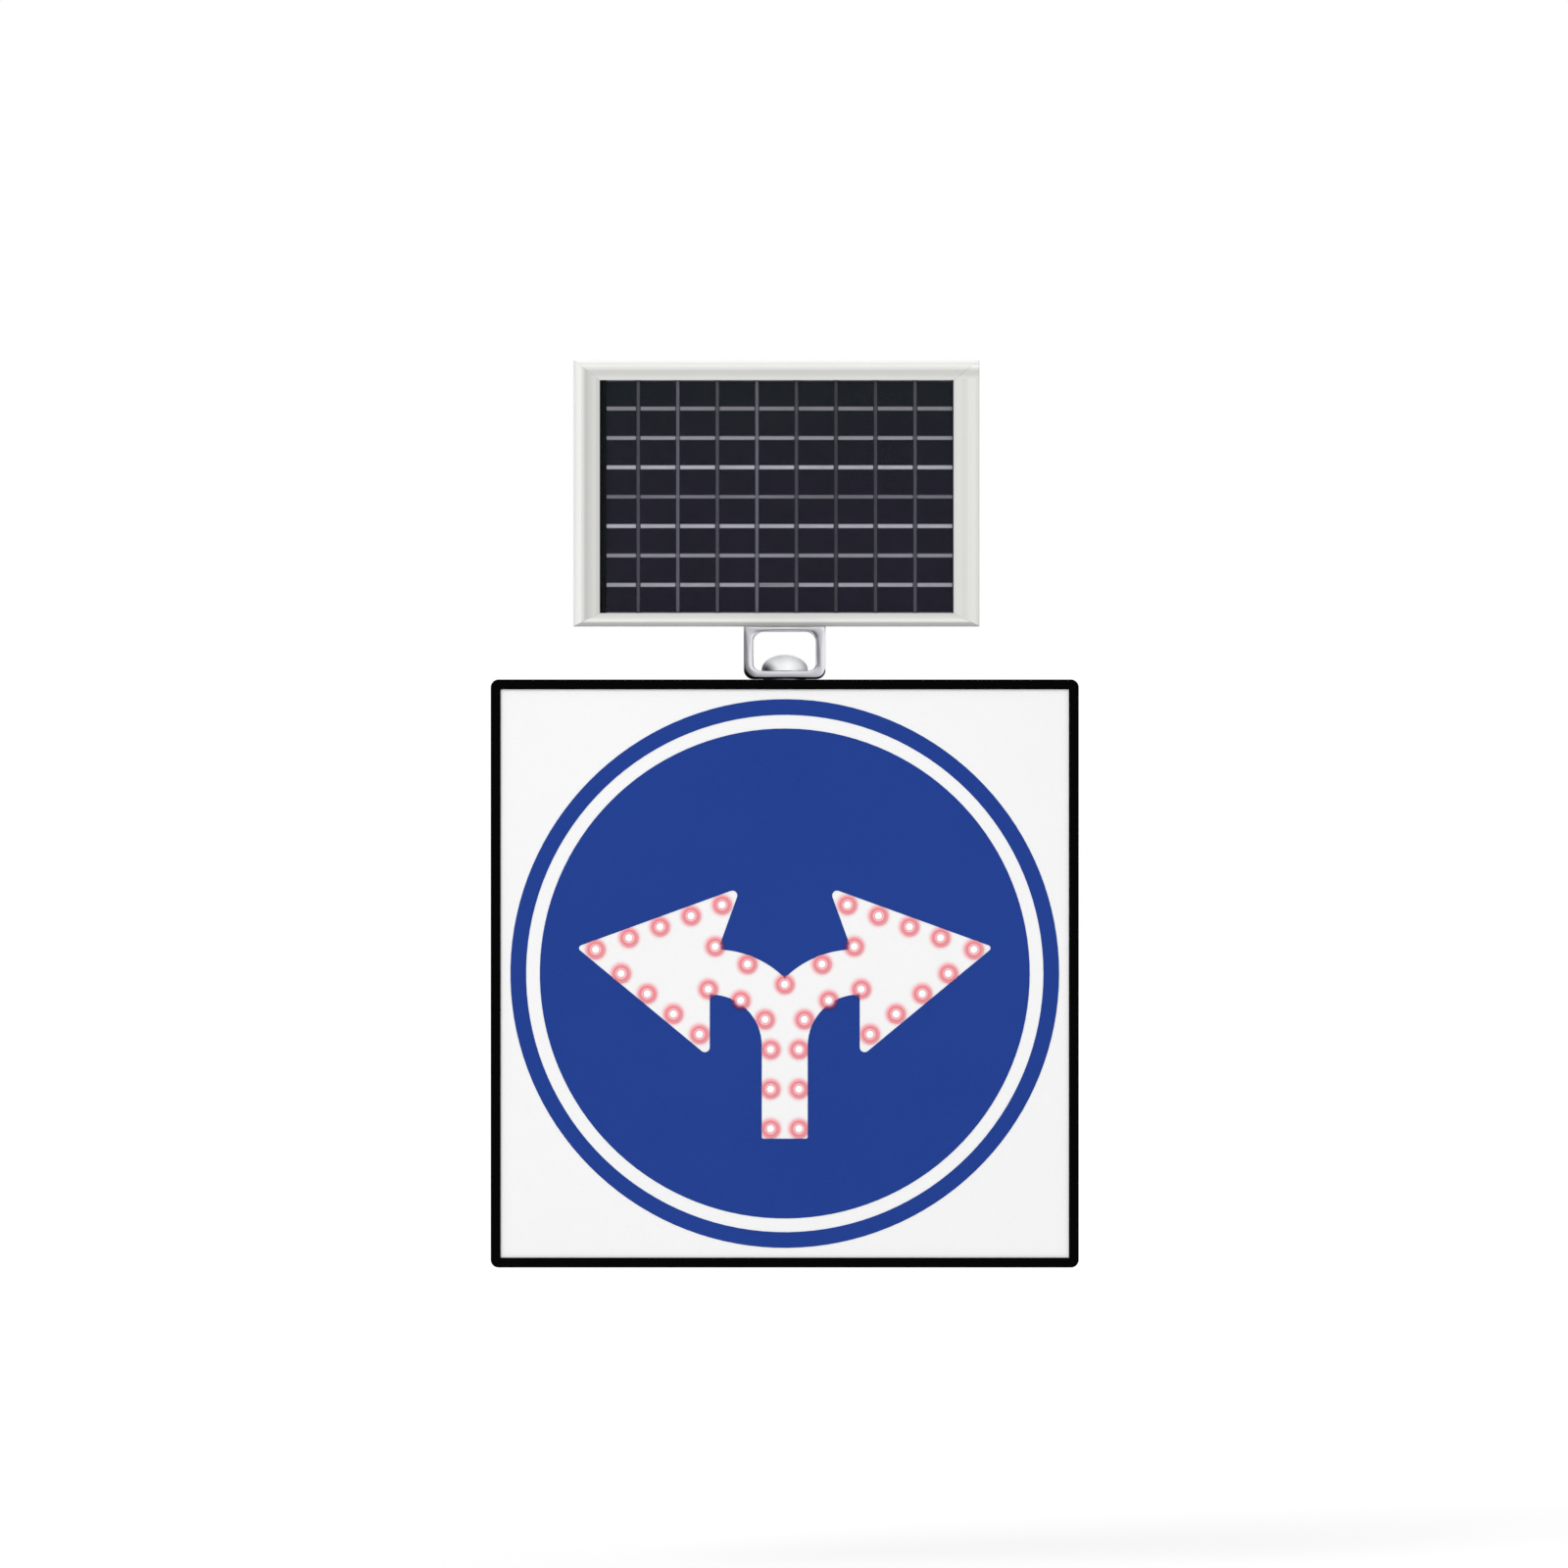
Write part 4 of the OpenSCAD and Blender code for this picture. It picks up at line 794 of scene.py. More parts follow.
@finish(
    "backsheet", "White laminate", (0.74, 0.74, 0.745), 0.46, specular=0.2, vary=0.02, gloss_vary=0.05,
    grain=1200.0, patch=10.0,
)
def back_laminate(made):
    """White at the rear; its front shows between the cells as lines in the gaps."""
    lines = CellLines(made)
    front = made.math("LESS_THAN", lines.y, lines.high.y + 0.00025)
    made.layer(lines.gap_colour(), front)
    # Painted sheen on the lines across the front
    painted_sheen = made.math("MULTIPLY", lines.light, made.math("MULTIPLY", lines.flat, front))
    made.layer(tint("ribbon_grey", 1.15), painted_sheen)


# One coat with painted light and shade for each side of the panel's frame
for side in RAIL_PAINTED_SHADE:
    MAKERS["panel_frame_" + side if side else "panel_frame"] = partial(panel_coat_with_painted_shade, side)


def settle(piece, nodes, body, finish=None):
    """Gives a piece its finish, its slot, its body and the CAD nodes that it stands for."""
    slot = SLOT_OF[nodes[0]]
    piece.data.materials.clear()
    piece.data.materials.append(finish or finish_for(slot))
    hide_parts(*nodes)
    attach(piece, body)


def repeated(name, template, node, body, turn=0.0, seed=7):
    """Sets a template on each solid's place in a CAD node, for which the made piece stands."""
    piece = scattered(name, template, middles(node), finish_for(SLOT_OF[node]), turn, seed)
    settle(piece, [node], body)


# The pieces


class SIGN_OT_finishes(bpy.types.Operator):
    """Gives every CAD node the material of its slot"""

    bl_idname = "sign.finishes"
    bl_label = "Finishes"

    def execute(self, context):
        for name, node in NODES.items():
            # The edge tape's black stands in for the shadow of the frame's lip on the cells: painted shadow
            material = finish_for("black_tape" if name == "edge_tape" else SLOT_OF[name])
            node.data.materials.clear()
            node.data.materials.append(material)
        return {"FINISHED"}


SIDES = ("bottom", "left", "top", "right")


class SIGN_OT_box_frame(bpy.types.Operator):
    """Black coated rails round the sign box"""

    bl_idname = "sign.box_frame"
    bl_label = "Box frame"

    def execute(self, context):
        for side in SIDES:
            node = "frame_rail_" + side
            piece = eased(node, context.scene.sign_shapes.coat_ease, name="box_rail_" + side)
            settle(piece, [node], SIGN)
        return {"FINISHED"}


def lamp_places():
    return middles("led_bezels")


def outline_of(node, y):
    """Outer outline of a flat node's front, as (x, z) points in order."""
    spots = {}
    for v in NODES[node].data.vertices:
        if abs(v.co.y - y) < 1e-5:
            spots[(round(v.co.x, 6), round(v.co.z, 6))] = math.atan2(v.co.z, v.co.x)
    half = max(p[0] for p in spots)
    places = lamp_places()
    keep = [p for p in spots if all(math.hypot(p[0] - x, p[1] - z) > 0.0075 for x, z in places)]
    keep = [p for p in keep if max(abs(p[0]), abs(p[1])) > half * 0.90]
    return sorted(keep, key=lambda p: spots[p])


def plate_with_rings(name, node, rings, steps):
    """A flat sheet with the lamp holes, and rings of points round each for the glow."""
    low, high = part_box(node)
    points = [Vector(p) for p in outline_of(node, low.y)]
    edges = [(k, (k + 1) % len(points)) for k in range(len(points))]
    places = lamp_places()
    for x, z in places:
        for radius in rings:
            start = len(points)
            for k in range(steps):
                turn = math.tau * k / steps
                points.append(Vector((x + radius * math.cos(turn), z + radius * math.sin(turn))))
                edges.append((start + k, start + (k + 1) % steps))
    flat, _, faces, *_ = delaunay_2d_cdt(points, edges, [], 0, 1e-7)
    kept = []
    for face in faces:
        mx = sum(flat[i].x for i in face) / len(face)
        mz = sum(flat[i].y for i in face) / len(face)
        if all(math.hypot(mx - x, mz - z) > rings[0] * 0.99 for x, z in places):
            kept.append(face)
    count = len(flat)
    verts = [(p.x, y, p.y) for y in (low.y, high.y) for p in flat]
    all_faces = [tuple(f) for f in kept] + [tuple(i + count for i in reversed(f)) for f in kept]
    seen = dict.fromkeys(pair for face in kept for pair in zip(face, face[1:] + face[:1]))
    all_faces += [(b, a, a + count, b + count) for a, b in seen if (b, a) not in seen]
    return mesh_of(name, verts, all_faces)


# Radius of the lamp holes in the sheeting, and how strong the lamps' painted glow is beside a lamp and how it
# fades
LAMP_HOLE = 0.00515
PAINTED_GLOW, PAINTED_GLOW_FADE = 0.58, 1.5


class SIGN_OT_face(bpy.types.Operator):
    """White sheeting with the lamps' pink glow painted round each lamp"""

    bl_idname = "sign.face"
    bl_label = "Sign face"

    def execute(self, context):
        shapes = context.scene.sign_shapes
        bezel, reach = radius_of("led_bezels"), shapes.painted_glow_reach
        rings = [LAMP_HOLE] + [bezel + (reach - bezel) * share for share in (0, 0.25, 0.5, 0.75)] + [reach]
        mesh = plate_with_rings("face_sheeting", "white_sheeting", rings, shapes.lamp_steps)
        tidy_mesh(mesh, 30)
        places = lamp_places()
        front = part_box("white_sheeting")[0].y
        values = []
        for v in mesh.vertices:
            near = min(math.hypot(v.co.x - x, v.co.z - z) for x, z in places)
            share = max(0.0, min(1.0, (reach - near) / (reach - bezel)))
            values.append(PAINTED_GLOW * share ** PAINTED_GLOW_FADE if v.co.y < front + 1e-5 else 0.0)
        settle(put("face_sheeting", point_values(mesh, "glow", values)), ["white_sheeting"], SIGN)
        return {"FINISHED"}


class SIGN_OT_lamps(bpy.types.Operator):
    """Red rings and lit lamps along the arrow"""

    bl_idname = "sign.lamps"
    bl_label = "Lamps"

    def execute(self, context):
        self.steps = context.scene.sign_shapes.lamp_steps
        low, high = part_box("led_bezels")
        outer, face, rear = radius_of("led_bezels"), low.y, high.y
        bore, neck, seat = 0.0043, 0.0050, low.y + 0.0011
        ring = [
            (bore, rear), (bore, face + 0.0003), (bore + 0.0003, face), (0.0056, face), (0.0066, face),
            (0.0076, face), (0.0086, face + 0.0001), (outer - 0.0004, face + 0.0004), (outer, face + 0.0008),
            (outer, seat), (neck, seat), (neck, rear),
        ]
        piece = self.along_arrow("lamp_ring", "lamp_rings", ring, "red_lens", closed=True)
        self.mark_film(piece.data, neck + 0.0021)
        settle(piece, ["led_bezels"], SIGN)

        low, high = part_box("led_bulbs")
        dome, ball, flange = 0.002, 0.004, 0.0046
        sphere = (ball * ball + dome * dome) / (2 * dome)
        lens = [(0, low.y)]
        for k in range(1, 7):
            r = ball * k / 6
            lens.append((r, low.y + sphere - math.sqrt(sphere * sphere - r * r)))
        lens += [(ball, high.y - 0.0012), (flange, high.y - 0.0011), (flange, high.y), (0, high.y)]
        settle(self.along_arrow("lamp_lens", "lamp_lenses", lens, "lamp"), ["led_bulbs"], SIGN)
        return {"FINISHED"}

    def along_arrow(self, name, piece_name, profile, slot, full=0.010, **values):
        """Sets a turned shape on every lamp's place, with each point's distance from its axis."""
        mesh = turned(name, profile, self.steps, **values)
        point_values(mesh, "radius", [math.hypot(v.co.x, v.co.z) / full for v in mesh.vertices])
        return scattered(piece_name, mesh, lamp_places(), finish_for(slot))

    def mark_film(self, mesh, seat):
        """The clear red rings look darker where they lie over the blue film."""
        film = NODES["blue_disc_film"].data
        tree = BVHTree.FromPolygons([v.co for v in film.vertices], [tuple(f.vertices) for f in film.polygons])
        ahead = Vector((0.0, 1.0, 0.0))
        soft = 0.0006
        probes = ((0, 0), (soft, 0), (-soft, 0), (0, soft), (0, -soft))
        places = lamp_places()
        values = []
        for v in mesh.vertices:
            x, z = min(places, key=lambda p: math.hypot(v.co.x - p[0], v.co.z - p[1]))
            away = Vector((v.co.x - x, v.co.z - z))
            away *= max(1.0, seat / max(away.length, 1e-6))
            starts = [Vector((x + away.x + dx, -1.0, z + away.y + dz)) for dx, dz in probes]
            hits = sum(tree.ray_cast(start, ahead)[0] is not None for start in starts)
            values.append(hits / len(probes))
        point_values(mesh, "over_film", values)


class SIGN_OT_fasteners(bpy.types.Operator):
    """Screws and rivets with recessed heads"""

    bl_idname = "sign.fasteners"
    bl_label = "Fasteners"

    def execute(self, context):
        # Node, body, head height and shank radius
        for node, body, head, shank in (
            ("cover_screws", SIGN, 0.0022, 0.0018),
            ("cross_rail_screws", PANEL, 0.0022, 0.0018),
            ("junction_screws", PANEL, 0.0009, 0.0010),
        ):
            low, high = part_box(node)
            profile = self.screw(radius_of(node), high.y, high.y - head, shank, low.y)
            repeated(node + "_made", turned(node, profile, 36), node, body, math.tau)
        node = "rail_rivets"
        low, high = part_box(node)
        radius, base = radius_of(node), high.y - 0.0014
        rivet = [
            (0, high.y - 0.0006), (radius * 0.24, high.y - 0.0006), (radius * 0.30, high.y - 0.0001),
            (radius * 0.45, high.y), (radius * 0.72, high.y - 0.0003), (radius * 0.92, high.y - 0.0007),
            (radius, base + 0.0002), (radius, base), (0.0024, base), (0.0024, low.y + 0.0004),
            (0.0020, low.y), (0, low.y),
        ]
        repeated(node + "_made", turned("rivet", rivet, 28), node, SIGN)
        return {"FINISHED"}

    def screw(self, head_r, top, base, shank_r, tip, drive="star"):
        """Pan head screw whose head looks to the rear: heights fall from the head to the tip."""
        h = top - base
        deep, well = top - h * 0.6, head_r * 0.52
        return [
            (0, deep), (well * 0.92, deep, drive), (well, top - 0.05 * h, drive), (well * 1.08, top),
            (head_r * 0.70, top), (head_r * 0.88, top - 0.14 * h), (head_r * 0.975, top - 0.38 * h),
            (head_r, top - 0.68 * h), (head_r, base), (shank_r, base), (shank_r, tip + shank_r * 0.8),
            (0, tip),
        ]


def rounded_loop(half_x, low_z, high_z, low_r, high_r, steps=10, straight=6):
    """A rounded rectangle as points in order, with one radius for its low and one for its high corners."""
    arcs = [
        arc_points(half_x - low_r, low_z + low_r, low_r, -90, steps),
        arc_points(half_x - high_r, high_z - high_r, high_r, 0, steps),
        arc_points(-half_x + high_r, high_z - high_r, high_r, 90, steps),
        arc_points(-half_x + low_r, low_z + low_r, low_r, 180, steps),
    ]
    points = []
    for arc, after in zip(arcs, arcs[1:] + arcs[:1]):
        points += arc
        (x, z), (nx, nz) = arc[-1], after[0]
        points += [(x + (nx - x) * j / straight, z + (nz - z) * j / straight) for j in range(1, straight)]
    return points


# Front and rear of the ear behind the panel, where the bolts of the cross rail pass
EAR_FRONT, EAR_REAR = -0.0375, -0.0315


class SIGN_OT_loop(bpy.types.Operator):
    """Polished loop with rounded bars, and its ear"""

    bl_idname = "sign.loop"
    bl_label = "Loop bracket"

    # Outer height, window edges from the foot and from the top, and the window's half width
    height, foot_bar, top_bar, window_half = 0.054, 0.0085, 0.0055, 0.03175
    # Rounding of the foot's front edges, below and above, and below at the broad left corner
    foot_under, foot_over, corner_under = 0.0042, 0.0026, 0.0082

    def execute(self, context):
        low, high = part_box("loop_bracket")
        limit = context.scene.sign_shapes.bar_round
        mesh = bpy.data.meshes.new("loop_polished")
        with opened(mesh, self.ring(low, high, limit), self.ear(low.z + self.height, high.z)):
            pass
        settle(put("loop_polished", shade(mesh, 40)), ["loop_bracket"], PANEL)
        return {"FINISHED"}

    def ring(self, low, high, limit, arc=6):
        top = low.z + self.height
        window_low = low.z + self.foot_bar
        outer = rounded_loop(high.x, low.z, top, 0.010, 0.0012)
        inner = rounded_loop(self.window_half, window_low, top - self.top_bar, 0.0075, 0.0105)
        points, count, size = [], len(outer), 4 * (arc + 1)
        for (ox, oz), (ix, iz) in zip(outer, inner):
            width = math.hypot(ix - ox, iz - oz)
            full = min(limit, width * 0.485)
            foot = max(0.0, min(1.0, (window_low + 0.003 - (oz + iz) / 2) / 0.006))
            under = full + (self.foot_under - full) * foot
            over = full + (self.foot_over - full) * foot
            away = math.hypot((ox + ix) / 2 + 0.0375, (oz + iz) / 2 - low.z - 0.0045)
            sweep = max(0.0, 1 - away / 0.012)
            under += (self.corner_under - under) * min(1.0, 1.5 * sweep)
            for cu, cy, r, start in (
                (under, low.y + under, under, 180), (width - over, low.y + over, over, 270),
                (width - full, high.y - full, full, 0), (full, high.y - full, full, 90),
            ):
                for u, y in arc_points(cu, cy, r, start, arc):
                    share = u / width
                    points.append((ox + (ix - ox) * share, y, oz + (iz - oz) * share))
        faces = []
        for k in range(count):
            n = (k + 1) % count
            for j in range(size):
                m = (j + 1) % size
                faces.append((k * size + j, k * size + m, n * size + m, n * size + j))
        return tidy_mesh(mesh_of("loop_ring", points, faces), 40)

    def ear(self, loop_top, top, half=0.030, corner=0.012):
        shape = [(-half, loop_top - 0.004), (half, loop_top - 0.004)]
        shape += arc_points(half - corner, top - corner, corner, 0, 8)
        shape += arc_points(-half + corner, top - corner, corner, 90, 8)
        n = len(shape)
        verts = [(x, y, z) for y in (EAR_FRONT, EAR_REAR) for x, z in shape]
        faces = [tuple(range(n)), tuple(reversed(range(n, 2 * n)))]
        faces += [((k + 1) % n, k, k + n, (k + 1) % n + n) for k in range(n)]
        mesh = mesh_of("loop_ear", verts, faces)
        with opened(mesh) as work:
            bmesh.ops.recalc_face_normals(work, faces=work.faces)
            sharp = [e for e in work.edges if e.calc_face_angle(0.0) > math.radians(50)]
            bmesh.ops.bevel(work, geom=sharp, offset=0.0009, segments=3, profile=0.5, affect="EDGES")
        return mesh


class SIGN_OT_pivot(bpy.types.Operator):
    """Domed pivot bolt inside the loop"""

    bl_idname = "sign.pivot"
    bl_label = "Pivot bolt"

    def execute(self, context):
        low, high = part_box("pivot_bolt")
        head_r, top, base = (high.x - low.x) / 2, high.z, high.z - 0.0165
        shank, brim, steps = 0.005, 0.0012, 14
        rise = top - base - brim
        profile = [(0, top)]
        for k in range(1, steps + 1):
            turn = math.pi / 2 * k / steps
            profile.append((head_r * math.sin(turn), top - rise + rise * math.cos(turn)))
        profile += [
            (head_r, base + 0.0004), (head_r - 0.0004, base), (shank, base), (shank, low.z + 0.0008),
            (0.0042, low.z), (0, low.z),
        ]
        mesh = turned("pivot_dome", profile, 72, axis="Z", angle=40)
        mesh.transform(Matrix.Translation((0, (low.y + high.y) / 2, 0)))
        painted_shades = [self.painted_shade_at(v.co.x, v.co.z - base, head_r) for v in mesh.vertices]
        piece = put("pivot_dome", point_values(mesh, "shade", painted_shades))
        settle(piece, ["pivot_bolt"], SIGN, finish=finish_for("satin_dome"))
        return {"FINISHED"}

    def painted_shade_at(self, x, height, head_r):
        """Painted shade on the dome, standing in for the dark room that it mirrors: dark at the foot of its
        left side, and a little grey up to its middle.
        """
        away = math.hypot((x + head_r * 0.94) / 0.0175, (height - 0.0005) / 0.0125)
        depth = min(1.0, 1.25 * max(0.0, 1 - away))
        grey = 0.16 * max(0.0, min(1.0, (0.004 - x) / 0.009))
        return 1 - (1 - depth * depth * (3 - 2 * depth)) * (1 - grey)


class SIGN_OT_panel_frame(bpy.types.Operator):
    """Off-white frame of the solar panel with its bead, groove and slope, and shade painted across each rail
    """

    bl_idname = "sign.panel_frame"
    bl_label = "Panel frame"

    # Height of the top rail's painted shade on the right rail's end
    lap = 0.0185
    # Place in the painted shade of faces that don't look to the front
    side_reach = 0.25

    def execute(self, context):
        boxes = {side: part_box("panel_rail_" + side) for side in SIDES}
        left, right = boxes["left"][0].x, boxes["right"][1].x
        bottom, top = boxes["bottom"][0].z, boxes["top"][1].z
        for side in SIDES:
            node = "panel_rail_" + side
            piece = eased(node, context.scene.sign_shapes.edge_ease, least=24, name="panel_bar_" + side)
            if side == "right":
                self.cut_across(piece.data, top - self.lap)
                lean(piece)
            mesh = piece.data
            data = mesh.attributes.new("reach", "FLOAT", "CORNER").data
            lapped = []
            for poly in mesh.polygons:
                ahead = poly.normal.y < -0.3
                under_top = side == "right" and ahead and poly.center.z > top - self.lap
                lapped.append(int(under_top))
                for loop in poly.loop_indices:
                    co = mesh.vertices[mesh.loops[loop].vertex_index].co
                    reach = {
                        "left": co.x - left, "right": right - co.x, "top": top - co.z,
                        "bottom": co.z - bottom,
                    }
                    # Where the painted shade falls: distance from the rail's outer edge, or from the top on
                    # the right rail's end
                    share = reach["top" if under_top else side] * 1000 / PAINTED_SHADE_WIDTH
                    data[loop].value = share if ahead else self.side_reach
            settle(piece, [node], PANEL, finish=finish_for("panel_frame_" + side))
            if side == "right":
                mesh.materials.append(finish_for("panel_frame_top"))
                mesh.polygons.foreach_set("material_index", lapped)
        return {"FINISHED"}

    def cut_across(self, mesh, z):
        """Cuts the faces at a height, so that the top rail's painted shade bands can run on over the end."""
        with opened(mesh) as work:
            everything = work.verts[:] + work.edges[:] + work.faces[:]
            bmesh.ops.bisect_plane(work, geom=everything, plane_co=(0, 0, z), plane_no=(0, 0, 1))


class SIGN_OT_rear_fittings(bpy.types.Operator):
    """Hat rails, gland and vent on the back of the box"""

    bl_idname = "sign.rear_fittings"
    bl_label = "Rear fittings"

    # Y of the back cover's outer face, on which the gland and the vent sit
    seat = -0.025

    def execute(self, context):
        for node in ("mounting_rail_upper", "mounting_rail_lower"):
            settle(eased(node, context.scene.sign_shapes.edge_ease, least=50), [node], SIGN)
        self.fit("gland", "cable_gland", self.gland(*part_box("cable_gland")), closed=True)
        self.fit("vent", "vent_plug", self.vent(*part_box("vent_plug")))
        return {"FINISHED"}

    def fit(self, name, node, profile, **values):
        (x, z), = middles(node)
        mesh = turned(name, profile, 108, angle=30, **values)
        mesh.transform(Matrix.Translation((x, 0, z)))
        settle(put(node + "_made", mesh), [node], SIGN)

    def gland(self, low, high):
        seat, bore, hex_r, cap_r, thread = self.seat, 0.004, 0.0115, 0.009, 0.0078
        return [
            (bore, low.y), (bore, high.y - 0.0012), (bore + 0.0012, high.y), (cap_r - 0.0022, high.y),
            (cap_r - 0.0006, high.y - 0.0014), (cap_r, high.y - 0.0030), (cap_r, high.y - 0.0035, "ribbed"),
            (cap_r, seat + 0.0056, "ribbed"), (cap_r * 0.93, seat + 0.0050), (hex_r * 0.84, seat + 0.0050),
            (hex_r, seat + 0.0044, "hex"), (hex_r, seat, "hex"), (thread, seat), (thread, low.y),
        ]

    def vent(self, low, high):
        seat, cap_r, thread = self.seat, (high.x - low.x) / 2, 0.006
        return [
            (0, high.y - 0.0012), (cap_r * 0.42, high.y - 0.0012), (cap_r * 0.46, high.y - 0.0002),
            (cap_r * 0.52, high.y), (cap_r * 0.84, high.y), (cap_r * 0.95, high.y - 0.0006),
            (cap_r, high.y - 0.0015, "ribbed"), (cap_r, seat + 0.0004, "ribbed"), (cap_r * 0.97, seat),
            (thread, seat), (thread, low.y + 0.0004), (0.0055, low.y), (0, low.y),
        ]


class SIGN_OT_panel_rear(bpy.types.Operator):
    """Cross rail, its bolts and the junction box behind the panel"""

    bl_idname = "sign.panel_rear"
    bl_label = "Panel rear"

    def execute(self, context):
        shapes = context.scene.sign_shapes
        for node, width in (
            ("cross_rail", shapes.edge_ease),
            ("junction_box", shapes.moulded_ease),
            ("junction_lid", shapes.moulded_ease),
        ):
            settle(eased(node, width, least=50), [node], PANEL)
        low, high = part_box("ear_bolts")
        top, head, shank = high.y, 0.0058, 0.003
        bolt = [
            (0, top - 0.0004), (0.0036, top - 0.0004), (0.0044, top), (0.0050, top - 0.0001),
            (head, top - 0.0009, "hex"), (head, EAR_REAR, "hex"), (shank, EAR_REAR), (shank, low.y + 0.0006),
            (0.0025, low.y), (0, low.y),
        ]
        template = turned("ear_bolt", bolt, 48, angle=30)
        repeated("ear_bolts_made", template, "ear_bolts", PANEL, turn=math.tau / 6, seed=3)
        return {"FINISHED"}


# Distance from the sign and the glow that keeps the floor white there, where the lamps reach less far
FLOOR_GLOW = ((0.0, 0.20), (3.0, 0.21), (5.0, 0.28), (6.5, 0.34), (8.0, 0.385), (10.0, 0.40))
FLOOR_REACH = 30.0
# Brightness that polished metal mirrors, from the lower left of the room to its upper right
ROOM_TONES = (
    (0.0, 0.04), (0.13, 0.25), (0.29, 0.34), (0.426, 0.52), (0.5, 0.66), (0.574, 0.81), (0.71, 0.96),
    (0.87, 1.0),
)
# How far the room's brightness rises to the right and upwards, and its slight blue
ROOM_RIGHT, ROOM_UP, ROOM_BLUE = 0.37, 0.333, 1.04
# Place, size and share of the key's power of each lamp
LAMPS = (
    ("Key", (-3.2, -4.6, 3.4), 2.6, 1.0),
    ("Rear fill", (2.8, 4.6, 3.0), 3.0, 0.8),
)
LAMPS_AIM = (0, 0, 0.15)
# X and Z that the photograph's middle shows
VIEW_X, VIEW_Z = -0.00075, 0.1934
SENSOR = 36.0


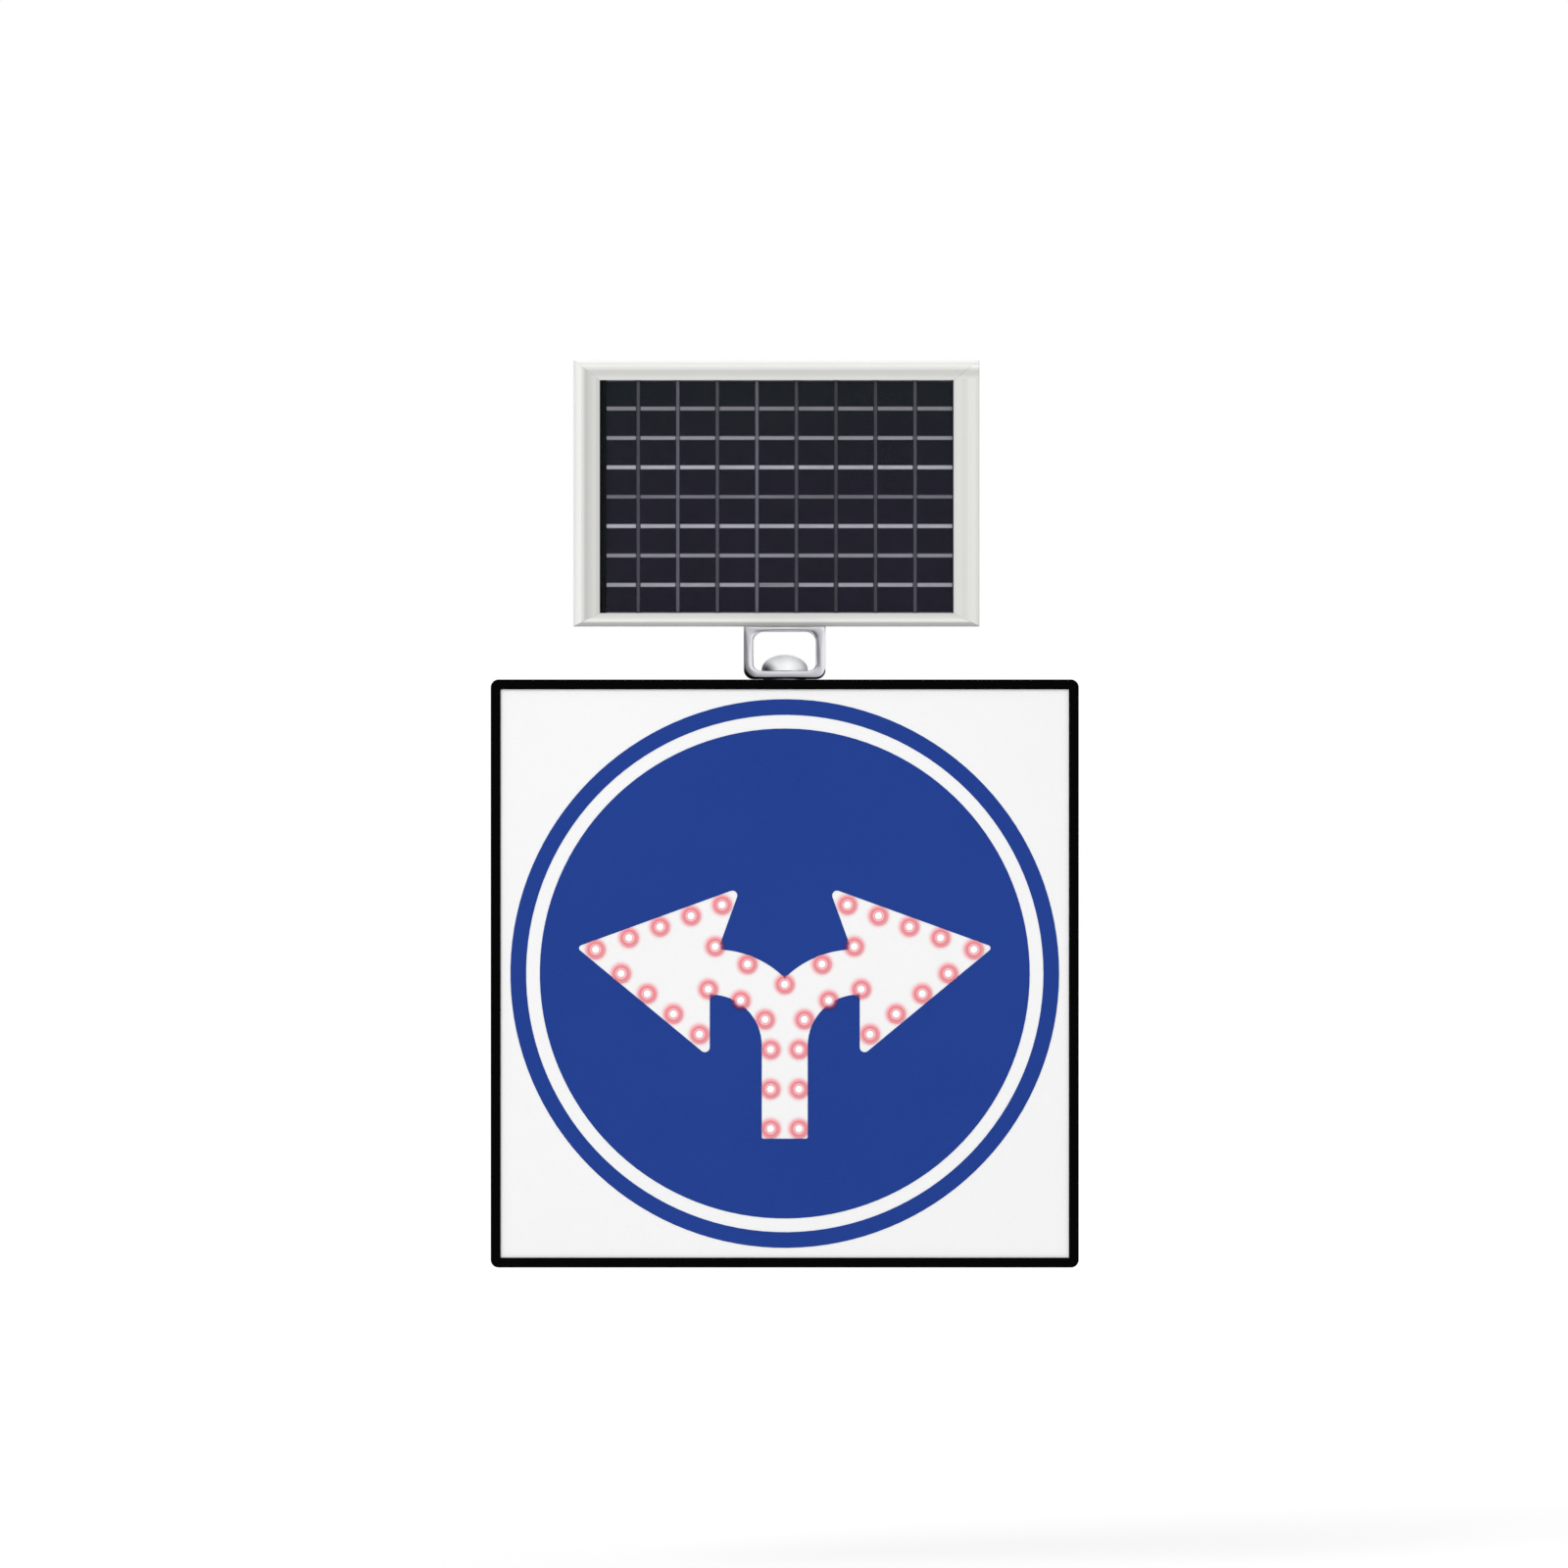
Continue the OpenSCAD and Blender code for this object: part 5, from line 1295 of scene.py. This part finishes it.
class SIGN_OT_stage(bpy.types.Operator):
    """Pale floor, soft studio light and the camera"""

    bl_idname = "sign.stage"
    bl_label = "Stage"

    def execute(self, context):
        stage = context.scene.sign_stage
        context.scene.view_settings.view_transform = "Standard"
        self.make_world(context, stage)
        self.make_floor(stage)
        self.make_lights(stage)
        self.make_camera(context, stage)
        return {"FINISHED"}

    def make_world(self, context, stage):
        """Even light, a toned room for mirrored rays, and white for the camera and clear pieces."""
        world = bpy.data.worlds.new("Studio")
        context.scene.world = world
        world.use_nodes = True
        tree = world.node_tree
        tree.nodes.clear()
        path, out, even, white, room, place, split, side, up, band, first, second, shown = new_nodes(
            tree,
            "LightPath OutputWorld Background Background Background TexCoord SeparateXYZ Math Math"
            " ValToRGB MixShader MixShader Math",
        )
        fill(even, {"Color": (1, 1, 1, 1), "Strength": stage.sky_strength})
        fill(white, {"Color": (1, 1, 1, 1)})
        side.operation = up.operation = "MULTIPLY_ADD"
        fill(side, {1: ROOM_RIGHT, 2: 0.5})
        fill(up, {1: ROOM_UP})
        shown.operation = "MAXIMUM"
        set_stops(band, [(spot, (tone, tone, min(1.0, tone * ROOM_BLUE))) for spot, tone in ROOM_TONES])
        wired(
            tree,
            (place, "Generated", split, "Vector"), (split, "X", side, 0), (split, "Z", up, 0),
            (side, "Value", up, 2), (up, "Value", band, "Fac"), (band, "Color", room, "Color"),
            (path, "Is Camera Ray", shown, 0), (path, "Is Transmission Ray", shown, 1),
            (path, "Is Glossy Ray", first, "Fac"), (even, "Background", first, 1),
            (room, "Background", first, 2), (shown, "Value", second, "Fac"), (first, "Shader", second, 1),
            (white, "Background", second, 2), (second, "Shader", out, "Surface"),
        )

    def make_floor(self, stage):
        z, reach = -stage.floor_drop, FLOOR_REACH
        corners = [(-reach, -reach, z), (reach, -reach, z), (reach, reach, z), (-reach, reach, z)]
        floor = put("floor", mesh_of("floor", corners, [(0, 1, 2, 3)]))
        material = bpy.data.materials.new("Pale floor")
        material.use_nodes = True
        tree = material.node_tree
        shader = tree.nodes["Principled BSDF"]
        fill(shader, {"Roughness": 0.9, "Specular IOR Level": 0.0, "Emission Color": (1, 1, 1, 1)})
        fill(shader, {"Base Color": (0.78, 0.78, 0.78, 1)})
        path, glow, place, away, band, scale = new_nodes(
            tree, "LightPath Math TexCoord VectorMath ValToRGB Math"
        )
        away.operation = "LENGTH"
        scale.operation = glow.operation = "MULTIPLY"
        fill(scale, {1: 1 / reach})
        set_stops(band, [(spot / reach, value) for spot, value in FLOOR_GLOW])
        wired(
            tree,
            (place, "Object", away, 0), (away, "Value", scale, 0), (scale, "Value", band, "Fac"),
            (path, "Is Camera Ray", glow, 0), (band, "Color", glow, 1),
            (glow, "Value", shader, "Emission Strength"),
        )
        floor.data.materials.append(material)
        floor.visible_glossy = False

    def make_lights(self, stage):
        for name, spot, size, share in LAMPS:
            data = bpy.data.lights.new(name, "AREA")
            data.energy, data.size = stage.key_power * share, size
            lamp = put(name, data)
            lamp.location = spot
            aim = Vector(LAMPS_AIM) - Vector(spot)
            lamp.rotation_euler = aim.to_track_quat("-Z", "Y").to_euler()
            lamp.visible_glossy = False

    def make_camera(self, context, stage):
        data = bpy.data.cameras.new("Camera")
        data.sensor_width = SENSOR
        data.lens = SENSOR * stage.camera_distance / stage.view_width
        data.clip_start, data.clip_end = 0.1, 100.0
        camera = put("Camera", data)
        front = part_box("frame_rail_top")[0].y
        camera.location = (VIEW_X, front - stage.camera_distance, VIEW_Z)
        camera.rotation_euler = (math.pi / 2, 0, 0)
        context.scene.camera = camera


OPERATORS = (
    SIGN_OT_stage, SIGN_OT_finishes, SIGN_OT_box_frame, SIGN_OT_face, SIGN_OT_lamps, SIGN_OT_fasteners,
    SIGN_OT_loop, SIGN_OT_pivot, SIGN_OT_panel_frame, SIGN_OT_panel_rear, SIGN_OT_rear_fittings,
)
GROUPS = {"sign_colours": SignColours, "sign_shapes": SignShapes, "sign_stage": SignStage}
CLASSES = (*GROUPS.values(), *OPERATORS)


class SIGN_PT_looks(bpy.types.Panel):
    """Values of the sign and the operators that make its pieces"""

    bl_label = "Traffic sign"
    bl_idname = "SIGN_PT_looks"
    bl_space_type = "VIEW_3D"
    bl_region_type = "UI"
    bl_category = "Traffic sign"

    def draw(self, context):
        for title, name in (("Colours", "sign_colours"), ("Shapes", "sign_shapes"), ("Stage", "sign_stage")):
            box = self.layout.box()
            box.label(text=title)
            for key in GROUPS[name].__annotations__:
                box.prop(getattr(context.scene, name), key)
        for operator in OPERATORS:
            self.layout.operator(operator.bl_idname)


def register():
    for item in (*CLASSES, SIGN_PT_looks):
        bpy.utils.register_class(item)
    for key, group in GROUPS.items():
        setattr(bpy.types.Scene, key, PointerProperty(type=group))


def unregister():
    for key in GROUPS:
        delattr(bpy.types.Scene, key)
    for item in reversed((*CLASSES, SIGN_PT_looks)):
        bpy.utils.unregister_class(item)


def main():
    register()
    for operator in OPERATORS:
        group, name = operator.bl_idname.split(".")
        getattr(getattr(bpy.ops, group), name)()


if __name__ == "__main__":
    main()
